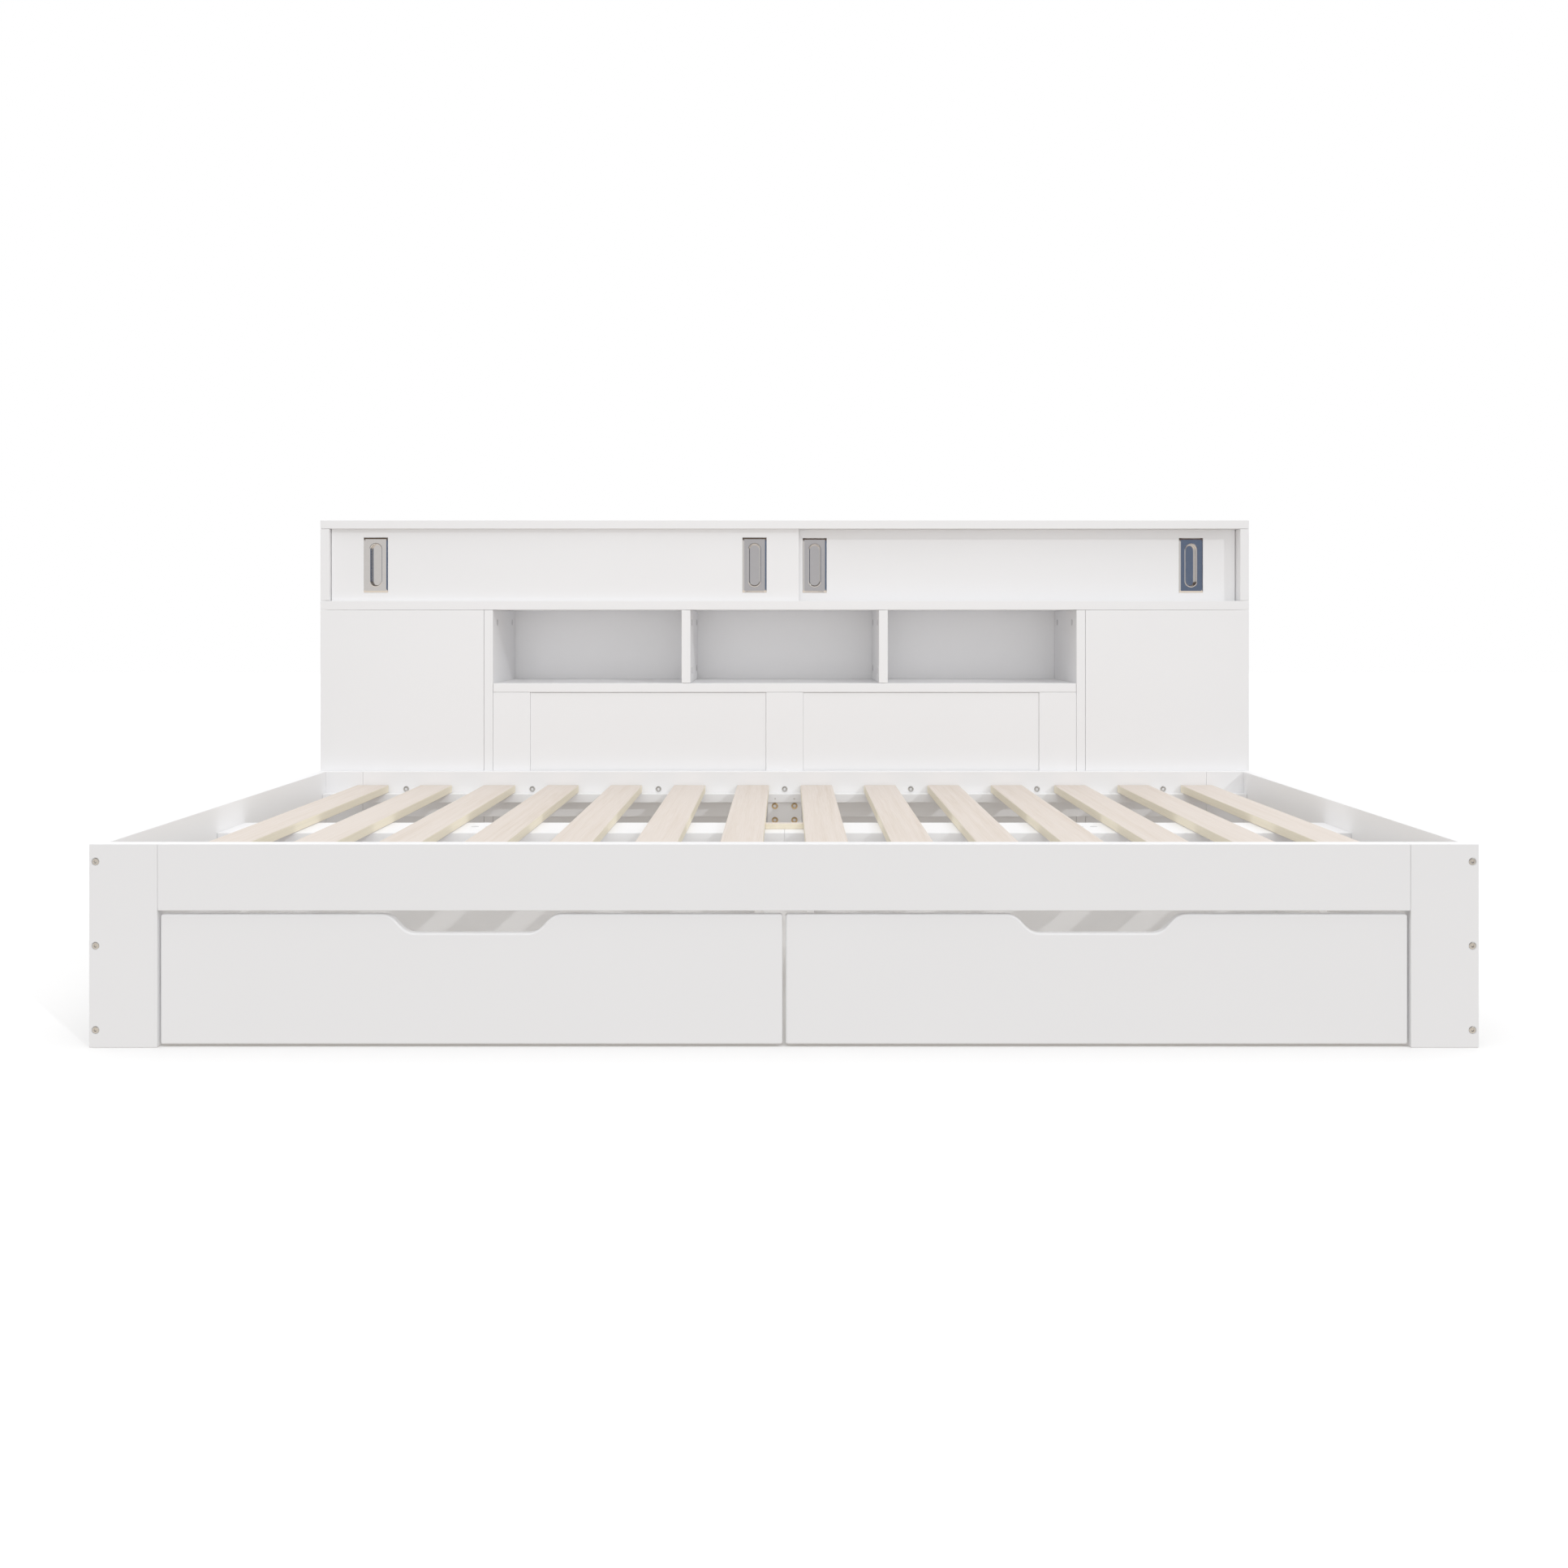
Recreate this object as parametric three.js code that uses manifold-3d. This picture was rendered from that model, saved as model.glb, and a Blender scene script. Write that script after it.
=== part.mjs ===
// Platform bed with a storage headboard along one long side and two roll-out drawers below.
//
// Frame: +X to the right along the bed's length, +Y from the open front towards the headboard,
// +Z up. The origin is on the floor, under the centre of the whole object. Millimetres.

import * as THREE from 'three';
import { mergeVertices } from 'three/addons/utils/BufferGeometryUtils.js';
import Module from 'manifold-3d';

const wasm = await Module();
wasm.setup();

// ---- driving dimensions -------------------------------------------------------------------

const BED_LENGTH = 1980;        // outside length, along X
const MATTRESS_DEPTH = 1008;    // clear depth between the front and rear rails
const SEAM = 0.4;               // glue line or butt joint between two fixed boards

// bed frame
const POST_WIDTH = 97;
const POST_THICKNESS = 22;
const POST_HEIGHT = 290;
const SIDE_THICKNESS = 19;
const RAIL_HEIGHT = 95;
const LEDGER_HEIGHT = 18;
const LEDGER_DEPTH = 25;

// slats and the beam under them
const SLAT_COUNT = 14;
const SLAT_WIDTH = 67;
const SLAT_THICKNESS = 16;
const SLAT_DROP = 28;           // slat tops below the tops of the rails
const SLAT_END_CLEARANCE = 3;
const BEAM_WIDTH = 130;
const BEAM_THICKNESS = 18;
const BEAM_SETBACK = 427;       // from the bed's front face to the beam's front edge
const BEAM_LEG_WIDTH = 50;
const BEAM_LEG_X = 533;
const REAR_LEG_WIDTH = 71;
const REAR_LEG_THICKNESS = 20;

// drawers
const DRAWER_RECESS = 4;        // front panel behind the posts' front faces
const DRAWER_FRONT_THICKNESS = 16;
const DRAWER_FLOOR_GAP = 3;
const DRAWER_TOP_GAP = 6;
const DRAWER_POST_GAP = 2.7;
const DRAWER_CENTRE_GAP = 4.5;
const NOTCH_WIDTH = 258;
const NOTCH_FLAT = 160;
const NOTCH_DEPTH = 27;
const BOX_INSET = 33;           // box side in from the end of its front panel
const BOX_BOARD = 12;
const BOX_DEPTH = 427;
const BOX_DROP = 39;            // box sides below the top of the front panel
const PANEL_THICKNESS = 5;      // drawer bottom
const PANEL_LIFT = 6;           // drawer bottom above the lower edge of the sides

// fixed castors under the drawers
const WHEEL_RADIUS = 14;
const WHEEL_WIDTH = 14;
const WHEEL_FLOOR_GAP = 0.2;
const WHEEL_TOP_GAP = 3.8;      // wheel to the fork's crown
const AXLE_RADIUS = 3;
const AXLE_CLEARANCE = 0.15;
const FORK_SIDE_GAP = 0.8;
const FORK_THICKNESS = 3;
const FORK_LENGTH = 24;
const FORK_OVERHANG = 6;        // fork below the axle's centre
const CASTOR_INSET_X = 48;      // castor centre in from the box side
const CASTOR_INSET_Y = 46;      // castor centre in from the box's front and rear edges

// storage headboard
const HEAD_INNER_DEPTH = 261;   // front plane to the back panel
const BACK_THICKNESS = 12;
const HEAD_HEIGHT = 823.6;
const TOP_THICKNESS = 18.1;
const SHELF_THICKNESS = 19;
const CUPBOARD_HEIGHT = 153.8;  // clear height behind the sliding doors
const CUBBY_HEIGHT = 156.8;
const UPRIGHT_THICKNESS = 19;
const CUBBY_WIDTH = 402;
const FRONT_PANEL_THICKNESS = 15;
const FIELD_RECESS = 3;
const FIELD_THICKNESS = 15;
const STILE_WIDTH = 79;

// sliding doors and their flush pulls
const DOOR_THICKNESS = 15;
const DOOR_SETBACK = 12;        // front door behind the headboard's front plane
const DOOR_SPACING = 5;         // between the two doors
const DOOR_OVERLAP = 61;
const DOOR_END_GAP = 1.5;
const DOOR_RUN_GAP = 0.5;       // door to groove walls and groove floor
const LOWER_GROOVE = 4;
const UPPER_GROOVE = 7;
const DOOR_TOP_ENTRY = 5;       // door into the upper groove
const PULL_WIDTH = 52;
const PULL_HEIGHT = 118;
const PULL_PLATE = 1.3;
const PULL_FROM_DOOR_END = 95;
const SLOT_WIDTH = 25.2;
const SLOT_HEIGHT = 92;
const CUP_WALL = 1.2;
const POCKET_GAP = 0.5;
const DOOR_SKIN = 2.3;          // wood left behind a pull's pocket

const ARC_STEPS = 24;           // facets in a full turn
const CURVE_STEPS = 8;          // facets in one curve of the finger notch

// ---- derived places -----------------------------------------------------------------------

const halfLength = BED_LENGTH / 2;
const innerHalf = halfLength - SIDE_THICKNESS;
const railHalf = halfLength - POST_WIDTH;
const bedDepth = MATTRESS_DEPTH + 2 * POST_THICKNESS;
const totalDepth = bedDepth + SEAM + HEAD_INNER_DEPTH + BACK_THICKNESS;

const frontY = -totalDepth / 2;
const frontInnerY = frontY + POST_THICKNESS;
const rearInnerY = frontInnerY + MATTRESS_DEPTH;
const rearY = frontY + bedDepth;
const headY = rearY + SEAM;
const backY = headY + HEAD_INNER_DEPTH;
const endY = backY + BACK_THICKNESS;

const railBottom = POST_HEIGHT - RAIL_HEIGHT;
const slatTop = POST_HEIGHT - SLAT_DROP;
const slatBottom = slatTop - SLAT_THICKNESS;
const ledgerTop = slatBottom - SEAM;
const ledgerBottom = ledgerTop - LEDGER_HEIGHT;

const cupboardTop = HEAD_HEIGHT - TOP_THICKNESS;
const middleShelfTop = cupboardTop - CUPBOARD_HEIGHT;
const middleShelfBottom = middleShelfTop - SHELF_THICKNESS;
const cubbyShelfTop = middleShelfBottom - CUBBY_HEIGHT;
const cubbyShelfBottom = cubbyShelfTop - SHELF_THICKNESS;
const dividerInner = CUBBY_WIDTH / 2;
const dividerOuter = dividerInner + UPRIGHT_THICKNESS;
const uprightInner = dividerOuter + CUBBY_WIDTH;
const uprightOuter = uprightInner + UPRIGHT_THICKNESS;

// ---- finishes -----------------------------------------------------------------------------

const finish = (color, roughness, metalness = 0) =>
  new THREE.MeshStandardMaterial({ color, roughness, metalness });

const whiteLacquer = finish(0xf1f1f2, 0.42);
const paleWood = finish(0xe6dbcf, 0.62);
const nickel = finish(0xc9c6c4, 0.25, 1);
const castorPlastic = finish(0x3a3b3d, 0.5);

// ---- helpers ------------------------------------------------------------------------------

const group = new THREE.Group();

function addMesh(name, geometry, material) {
  const mesh = new THREE.Mesh(geometry, material);
  mesh.name = name;
  group.add(mesh);
  return mesh;
}

// A board between two opposite corners, given as [low, high] on each axis.
function addBoard(name, material, [x0, x1], [y0, y1], [z0, z1]) {
  const mesh = addMesh(name, new THREE.BoxGeometry(x1 - x0, y1 - y0, z1 - z0), material);
  mesh.position.set((x0 + x1) / 2, (y0 + y1) / 2, (z0 + z1) / 2);
  return mesh;
}

// The same span on the left (side = -1) or on the right (side = 1) of the bed's middle.
const mirrored = (side, inner, outer) => (side < 0 ? [-outer, -inner] : [inner, outer]);

// A closed three.js geometry as a solid that can be joined and cut.
function toSolid(geometry) {
  const shared = geometry.clone();
  shared.deleteAttribute('normal');
  shared.deleteAttribute('uv');
  const merged = mergeVertices(shared, 1e-4);
  return new wasm.Manifold(new wasm.Mesh({
    numProp: 3,
    vertProperties: new Float32Array(merged.attributes.position.array),
    triVerts: new Uint32Array(merged.index.array),
  }));
}

function toGeometry(solid) {
  const mesh = solid.getMesh();
  const geometry = new THREE.BufferGeometry();
  geometry.setAttribute('position', new THREE.BufferAttribute(mesh.vertProperties, 3));
  geometry.setIndex(new THREE.BufferAttribute(mesh.triVerts, 1));
  return geometry;
}

function boxSolid([x0, x1], [y0, y1], [z0, z1]) {
  const geometry = new THREE.BoxGeometry(x1 - x0, y1 - y0, z1 - z0);
  geometry.translate((x0 + x1) / 2, (y0 + y1) / 2, (z0 + z1) / 2);
  return toSolid(geometry);
}

// A round bar along X, centred on (x, y, z).
function barSolid(radius, length, x, y, z) {
  const geometry = new THREE.CylinderGeometry(radius, radius, length, ARC_STEPS);
  geometry.rotateZ(Math.PI / 2);
  geometry.translate(x, y, z);
  return toSolid(geometry);
}

// A slot with round ends, standing upright in the XZ plane and running from y0 to y1.
function slotSolid(width, height, x, z, y0, y1) {
  const radius = width / 2;
  const straight = height / 2 - radius;
  const outline = new THREE.Shape();
  outline.absarc(0, straight, radius, 0, Math.PI, false);
  outline.absarc(0, -straight, radius, Math.PI, 2 * Math.PI, false);
  const geometry = new THREE.ExtrudeGeometry(outline, {
    depth: y1 - y0,
    bevelEnabled: false,
    curveSegments: ARC_STEPS / 2,
  });
  geometry.rotateX(Math.PI / 2);
  geometry.translate(x, y1, z);
  return toSolid(geometry);
}

const union = (solids) => solids.reduce((joined, solid) => joined.add(solid));

// ---- bed frame ----------------------------------------------------------------------------

const sides = [['left', -1], ['right', 1]];

for (const [label, side] of sides) {
  const postX = mirrored(side, railHalf, halfLength);
  addBoard(`front_${label}_post`, whiteLacquer, postX, [frontY, frontInnerY], [0, POST_HEIGHT]);
  addBoard(`rear_${label}_post`, whiteLacquer, postX, [rearInnerY, rearY], [0, POST_HEIGHT]);
  addBoard(
    `${label}_side_board`,
    whiteLacquer,
    mirrored(side, innerHalf, halfLength),
    [frontInnerY + SEAM, rearInnerY - SEAM],
    [0, POST_HEIGHT],
  );
}

const railX = [-railHalf + SEAM, railHalf - SEAM];
const railZ = [railBottom, POST_HEIGHT];
addBoard('front_rail', whiteLacquer, railX, [frontY, frontInnerY], railZ);
addBoard('rear_rail', whiteLacquer, railX, [rearInnerY, rearY], railZ);

const ledgerX = [-innerHalf + SEAM, innerHalf - SEAM];
const ledgerZ = [ledgerBottom, ledgerTop];
const frontLedgerY = [frontInnerY + SEAM, frontInnerY + SEAM + LEDGER_DEPTH];
const rearLedgerY = [rearInnerY - SEAM - LEDGER_DEPTH, rearInnerY - SEAM];
addBoard('front_ledger', whiteLacquer, ledgerX, frontLedgerY, ledgerZ);
addBoard('rear_ledger', whiteLacquer, ledgerX, rearLedgerY, ledgerZ);

// ---- slats, beam and legs -----------------------------------------------------------------

// Equal gaps between the slats and at both ends.
const slatPitch = SLAT_WIDTH + (2 * innerHalf - SLAT_COUNT * SLAT_WIDTH) / (SLAT_COUNT + 1);
const slatY = [frontInnerY + SLAT_END_CLEARANCE, rearInnerY - SLAT_END_CLEARANCE];

for (let i = 0; i < SLAT_COUNT; i += 1) {
  const centre = (i - (SLAT_COUNT - 1) / 2) * slatPitch;
  addBoard(
    `slat_${String(i + 1).padStart(2, '0')}`,
    paleWood,
    [centre - SLAT_WIDTH / 2, centre + SLAT_WIDTH / 2],
    slatY,
    [slatBottom, slatTop],
  );
}

const beamY = [frontY + BEAM_SETBACK, frontY + BEAM_SETBACK + BEAM_WIDTH];
const beamTop = slatBottom - SEAM;
const beamBottom = beamTop - BEAM_THICKNESS;
const beamLegY = (beamY[0] + beamY[1]) / 2 + BEAM_LEG_WIDTH / 4;

for (const [label, side] of sides) {
  addBoard(
    `${label}_beam`,
    whiteLacquer,
    mirrored(side, SEAM / 2, innerHalf - SEAM),
    beamY,
    [beamBottom, beamTop],
  );
  addBoard(
    `${label}_beam_leg`,
    whiteLacquer,
    mirrored(side, BEAM_LEG_X - BEAM_LEG_WIDTH / 2, BEAM_LEG_X + BEAM_LEG_WIDTH / 2),
    [beamLegY - BEAM_LEG_WIDTH / 2, beamLegY + BEAM_LEG_WIDTH / 2],
    [0, beamBottom - SEAM],
  );
}

addBoard(
  'rear_centre_leg',
  whiteLacquer,
  [-REAR_LEG_WIDTH / 2, REAR_LEG_WIDTH / 2],
  [rearInnerY - SEAM - REAR_LEG_THICKNESS, rearInnerY - SEAM],
  [0, ledgerBottom - SEAM],
);

// ---- headboard carcass --------------------------------------------------------------------

const carcassY = [headY, backY - SEAM];
const doorTrackY = [DOOR_SETBACK, DOOR_SETBACK + DOOR_THICKNESS + DOOR_SPACING];

// The two door grooves, cut from z0 to z1 between the cabinet ends.
function cutGrooves(board, z0, z1) {
  return doorTrackY.reduce((rest, track) => rest.subtract(boxSolid(
    [-innerHalf, innerHalf],
    [headY + track - DOOR_RUN_GAP, headY + track + DOOR_THICKNESS + DOOR_RUN_GAP],
    [z0, z1],
  )), board);
}

const fullX = [-halfLength, halfLength];
const topSolid = cutGrooves(
  boxSolid(fullX, [headY, endY], [cupboardTop, HEAD_HEIGHT]),
  cupboardTop - 1,
  cupboardTop + UPPER_GROOVE,
);
addMesh('headboard_top', toGeometry(topSolid), whiteLacquer);

const shelfSolid = cutGrooves(
  boxSolid(fullX, carcassY, [middleShelfBottom, middleShelfTop]),
  middleShelfTop - LOWER_GROOVE,
  middleShelfTop + 1,
);
addMesh('middle_shelf', toGeometry(shelfSolid), whiteLacquer);

addBoard('back_panel', whiteLacquer, fullX, [backY, endY], [0, cupboardTop - SEAM]);

for (const [label, side] of sides) {
  addBoard(
    `${label}_cabinet_end`,
    whiteLacquer,
    mirrored(side, innerHalf, halfLength),
    carcassY,
    [middleShelfTop + SEAM, cupboardTop - SEAM],
  );
  addBoard(
    `${label}_upright`,
    whiteLacquer,
    mirrored(side, uprightInner, uprightOuter),
    carcassY,
    [0, middleShelfBottom - SEAM],
  );
  addBoard(
    `${label}_divider`,
    whiteLacquer,
    mirrored(side, dividerInner, dividerOuter),
    carcassY,
    [cubbyShelfTop + SEAM, middleShelfBottom - SEAM],
  );
  addBoard(
    `${label}_front_panel`,
    whiteLacquer,
    mirrored(side, uprightOuter + SEAM, halfLength),
    [headY, headY + FRONT_PANEL_THICKNESS],
    [0, middleShelfBottom - SEAM],
  );
}

const centreX = [-uprightInner + SEAM, uprightInner - SEAM];
addBoard('cubby_shelf', whiteLacquer, centreX, carcassY, [cubbyShelfBottom, cubbyShelfTop]);

// Panel under the cubbies: a board with two shallow fields between three stiles, drawn in plan
// and extruded upwards.
function lowerPanelGeometry() {
  const half = centreX[1];
  const fieldOuter = uprightInner - STILE_WIDTH;
  const fieldInner = STILE_WIDTH / 2;
  const plan = new THREE.Shape();
  plan.moveTo(-half, FIELD_RECESS + FIELD_THICKNESS);
  plan.lineTo(-half, 0);
  for (const [x0, x1] of [[-fieldOuter, -fieldInner], [fieldInner, fieldOuter]]) {
    plan.lineTo(x0, 0);
    plan.lineTo(x0, FIELD_RECESS);
    plan.lineTo(x1, FIELD_RECESS);
    plan.lineTo(x1, 0);
  }
  plan.lineTo(half, 0);
  plan.lineTo(half, FIELD_RECESS + FIELD_THICKNESS);
  return new THREE.ExtrudeGeometry(plan, {
    depth: cubbyShelfBottom - SEAM,
    bevelEnabled: false,
  });
}

addMesh('lower_panel', lowerPanelGeometry(), whiteLacquer).position.set(0, headY, 0);

// ---- sliding doors and flush pulls --------------------------------------------------------

const doorZ = [middleShelfTop - LOWER_GROOVE + DOOR_RUN_GAP, cupboardTop + DOOR_TOP_ENTRY];
const doorOuter = innerHalf - DOOR_END_GAP;
const pullZ = (middleShelfTop + cupboardTop) / 2;
const cupDepth = DOOR_THICKNESS - DOOR_SKIN - POCKET_GAP - CUP_WALL;
const pocketWidth = SLOT_WIDTH + 2 * (CUP_WALL + POCKET_GAP);
const pocketHeight = SLOT_HEIGHT + 2 * (CUP_WALL + POCKET_GAP);

function doorSolid([x0, x1], faceY, pullXs) {
  const board = boxSolid([x0, x1], [faceY, faceY + DOOR_THICKNESS], doorZ);
  const pocketEnd = faceY + DOOR_THICKNESS - DOOR_SKIN;
  return pullXs.reduce(
    (rest, x) => rest.subtract(
      slotSolid(pocketWidth, pocketHeight, x, pullZ, faceY - 1, pocketEnd),
    ),
    board,
  );
}

// A flush pull: a thin rectangular plate on the door's face with a round-ended cup behind it.
function pullSolid(x, faceY) {
  const plateY = faceY - SEAM - PULL_PLATE;
  const cupEnd = faceY + cupDepth;
  const plate = boxSolid(
    [x - PULL_WIDTH / 2, x + PULL_WIDTH / 2],
    [plateY, faceY - SEAM],
    [pullZ - PULL_HEIGHT / 2, pullZ + PULL_HEIGHT / 2],
  );
  const cupWidth = SLOT_WIDTH + 2 * CUP_WALL;
  const cupHeight = SLOT_HEIGHT + 2 * CUP_WALL;
  const cup = slotSolid(cupWidth, cupHeight, x, pullZ, plateY, cupEnd + CUP_WALL);
  const slot = slotSolid(SLOT_WIDTH, SLOT_HEIGHT, x, pullZ, plateY - 1, cupEnd);
  return plate.add(cup).subtract(slot);
}

sides.forEach(([label, side], index) => {
  const doorX = mirrored(side, -DOOR_OVERLAP / 2, doorOuter);
  const faceY = headY + doorTrackY[index];
  const outerPullX = side * (doorOuter - PULL_FROM_DOOR_END);
  const innerPullX = side * (PULL_FROM_DOOR_END - DOOR_OVERLAP / 2);
  const door = doorSolid(doorX, faceY, [outerPullX, innerPullX]);
  addMesh(`${label}_door`, toGeometry(door), whiteLacquer);
  addMesh(`${label}_door_outer_pull`, toGeometry(pullSolid(outerPullX, faceY)), nickel);
  addMesh(`${label}_door_inner_pull`, toGeometry(pullSolid(innerPullX, faceY)), nickel);
});

// ---- drawers ------------------------------------------------------------------------------

const drawerInner = DRAWER_CENTRE_GAP / 2;
const drawerOuter = railHalf - DRAWER_POST_GAP;
const drawerCentre = (drawerInner + drawerOuter) / 2;
const drawerFaceY = frontY + DRAWER_RECESS;
const drawerTop = railBottom - DRAWER_TOP_GAP;
const boxY = [
  drawerFaceY + DRAWER_FRONT_THICKNESS + SEAM,
  drawerFaceY + DRAWER_FRONT_THICKNESS + SEAM + BOX_DEPTH,
];
const boxInner = drawerInner + BOX_INSET;
const boxOuter = drawerOuter - BOX_INSET;
const axleZ = WHEEL_FLOOR_GAP + WHEEL_RADIUS;
const boxBottom = axleZ + WHEEL_RADIUS + WHEEL_TOP_GAP;
const boxTop = drawerTop - BOX_DROP;
const panelBottom = boxBottom + PANEL_LIFT;

// Front panel with a finger notch in its top edge: a flat floor between two S-shaped slopes.
function drawerFrontGeometry() {
  const half = (drawerOuter - drawerInner) / 2;
  const flat = NOTCH_FLAT / 2;
  const lip = NOTCH_WIDTH / 2;
  const middle = (flat + lip) / 2;
  const floor = drawerTop - NOTCH_DEPTH;
  const face = new THREE.Shape();
  face.moveTo(-half, DRAWER_FLOOR_GAP);
  face.lineTo(half, DRAWER_FLOOR_GAP);
  face.lineTo(half, drawerTop);
  face.lineTo(lip, drawerTop);
  face.bezierCurveTo(middle, drawerTop, middle, floor, flat, floor);
  face.lineTo(-flat, floor);
  face.bezierCurveTo(-middle, floor, -middle, drawerTop, -lip, drawerTop);
  face.lineTo(-half, drawerTop);
  const geometry = new THREE.ExtrudeGeometry(face, {
    depth: DRAWER_FRONT_THICKNESS,
    bevelEnabled: false,
    curveSegments: CURVE_STEPS,
  });
  geometry.rotateX(Math.PI / 2);
  geometry.translate(0, DRAWER_FRONT_THICKNESS, 0);
  return geometry;
}

// The fork and axle of one fixed castor, up to the drawer's bottom panel.
function castorFork(x, y) {
  const earInner = WHEEL_WIDTH / 2 + FORK_SIDE_GAP;
  const earOuter = earInner + FORK_THICKNESS;
  const forkY = [y - FORK_LENGTH / 2, y + FORK_LENGTH / 2];
  const forkTop = panelBottom + PANEL_THICKNESS / 2;
  const plate = boxSolid([x - earOuter, x + earOuter], forkY, [boxBottom, forkTop]);
  const earZ = [axleZ - FORK_OVERHANG, forkTop];
  const ears = [-1, 1].map((side) => boxSolid(
    mirrored(side, earInner, earOuter).map((edge) => edge + x),
    forkY,
    earZ,
  ));
  const axle = barSolid(AXLE_RADIUS, 2 * earInner + FORK_THICKNESS, x, y, axleZ);
  return union([plate, ...ears, axle]);
}

const castorYs = [['front', boxY[0] + CASTOR_INSET_Y], ['rear', boxY[1] - CASTOR_INSET_Y]];
const castorXs = [['inner', boxInner + CASTOR_INSET_X], ['outer', boxOuter - CASTOR_INSET_X]];

// Two sides, a back and a raised bottom joined to four castor forks, open at the front where
// the front panel closes it.
function drawerBox(side) {
  const boardsZ = [boxBottom, boxTop];
  const insideX = mirrored(side, boxInner + BOX_BOARD, boxOuter - BOX_BOARD);
  const outline = boxSolid(mirrored(side, boxInner, boxOuter), boxY, boardsZ);
  const inside = boxSolid(
    insideX,
    [boxY[0] - 1, boxY[1] - BOX_BOARD],
    [boxBottom - 1, boxTop + 1],
  );
  const bottom = boxSolid(
    [insideX[0] - BOX_BOARD / 2, insideX[1] + BOX_BOARD / 2],
    [boxY[0], boxY[1] - BOX_BOARD / 2],
    [panelBottom, panelBottom + PANEL_THICKNESS],
  );
  const forks = castorXs.flatMap(([, x]) => castorYs.map(([, y]) => castorFork(side * x, y)));
  return union([outline.subtract(inside), bottom, ...forks]);
}

// A wheel with a straight tread and a bore, turned about X.
function wheelGeometry() {
  const bore = AXLE_RADIUS + AXLE_CLEARANCE;
  const half = WHEEL_WIDTH / 2;
  const profile = [[bore, -half], [WHEEL_RADIUS, -half], [WHEEL_RADIUS, half], [bore, half]]
    .map(([radius, along]) => new THREE.Vector2(radius, along));
  profile.push(profile[0].clone());
  const geometry = new THREE.LatheGeometry(profile, ARC_STEPS);
  geometry.rotateZ(Math.PI / 2);
  return geometry;
}

for (const [label, side] of sides) {
  const front = addMesh(`${label}_drawer_front`, drawerFrontGeometry(), whiteLacquer);
  front.position.set(side * drawerCentre, drawerFaceY, 0);
  addMesh(`${label}_drawer_box`, toGeometry(drawerBox(side)), whiteLacquer);
  for (const [row, y] of castorYs) {
    for (const [column, x] of castorXs) {
      const wheel = addMesh(
        `${label}_drawer_${row}_${column}_wheel`,
        wheelGeometry(),
        castorPlastic,
      );
      wheel.position.set(side * x, y, axleZ);
    }
  }
}

export default group;
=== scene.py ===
"""White platform bed with a storage headboard, sliding doors and two roll-out drawers.

Every wooden board, fitting and castor of the bed is a surface worked out from the size of the part
that it stands for, with the eased edges and finishes of the real furniture. Metres, +Z up.
"""

import bpy
import numpy as np
from bpy.props import FloatProperty, FloatVectorProperty, IntProperty, PointerProperty
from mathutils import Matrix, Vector


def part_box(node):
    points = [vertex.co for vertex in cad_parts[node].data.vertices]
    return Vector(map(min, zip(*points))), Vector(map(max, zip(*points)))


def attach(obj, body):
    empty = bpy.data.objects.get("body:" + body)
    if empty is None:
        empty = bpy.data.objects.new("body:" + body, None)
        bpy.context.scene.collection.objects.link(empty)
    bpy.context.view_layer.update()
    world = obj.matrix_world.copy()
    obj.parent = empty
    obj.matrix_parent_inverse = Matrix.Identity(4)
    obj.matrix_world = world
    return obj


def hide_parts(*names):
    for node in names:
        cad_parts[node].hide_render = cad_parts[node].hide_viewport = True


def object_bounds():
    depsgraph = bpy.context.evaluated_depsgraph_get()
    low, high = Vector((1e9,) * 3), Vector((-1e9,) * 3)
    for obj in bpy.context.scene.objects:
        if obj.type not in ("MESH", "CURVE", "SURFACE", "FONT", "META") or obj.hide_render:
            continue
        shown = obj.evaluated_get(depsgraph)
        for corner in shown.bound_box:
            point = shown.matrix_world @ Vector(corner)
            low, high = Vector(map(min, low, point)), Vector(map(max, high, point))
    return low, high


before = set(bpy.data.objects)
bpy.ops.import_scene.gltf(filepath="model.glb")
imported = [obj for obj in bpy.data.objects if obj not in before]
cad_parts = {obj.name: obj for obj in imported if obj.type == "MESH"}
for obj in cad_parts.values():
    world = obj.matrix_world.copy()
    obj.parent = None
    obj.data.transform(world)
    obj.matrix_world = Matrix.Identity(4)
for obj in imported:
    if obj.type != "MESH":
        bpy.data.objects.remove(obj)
cad_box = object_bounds()

bl_info = {
    "name": "Platform bed with storage headboard",
    "version": (1, 0, 0),
    "blender": (4, 5, 0),
    "location": "View3D > Sidebar > Bed",
    "description": "Boards, fittings and finishes of a white platform bed with drawers",
    "category": "Object",
}

MM = 0.001
SIDES = (("left", -1), ("right", 1))
ARC_STEPS = 3          # facets in an eased edge
ROUND_STEPS = 24       # facets round a bolt, cap or hole
LACQUER = "sprayed_white_lacquer"
BED = "bed_frame"      # the body that stands still
KEY_DIRECTION = (-0.8, 1.0, -0.69)   # the way the key light travels
KEY_ANGLE = 0.02       # radians, for soft-edged shadows
PATCH_POWER = 20.0     # how fast the soft patches of light fade
FLOOR_HALF = 15.0      # metres
FLOOR_SINK = 0.2 * MM  # floor below the bed's feet
COLOUR_A, COLOUR_B, COLOUR_OUT = 6, 7, 2   # colour sockets of a Mix node

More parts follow.
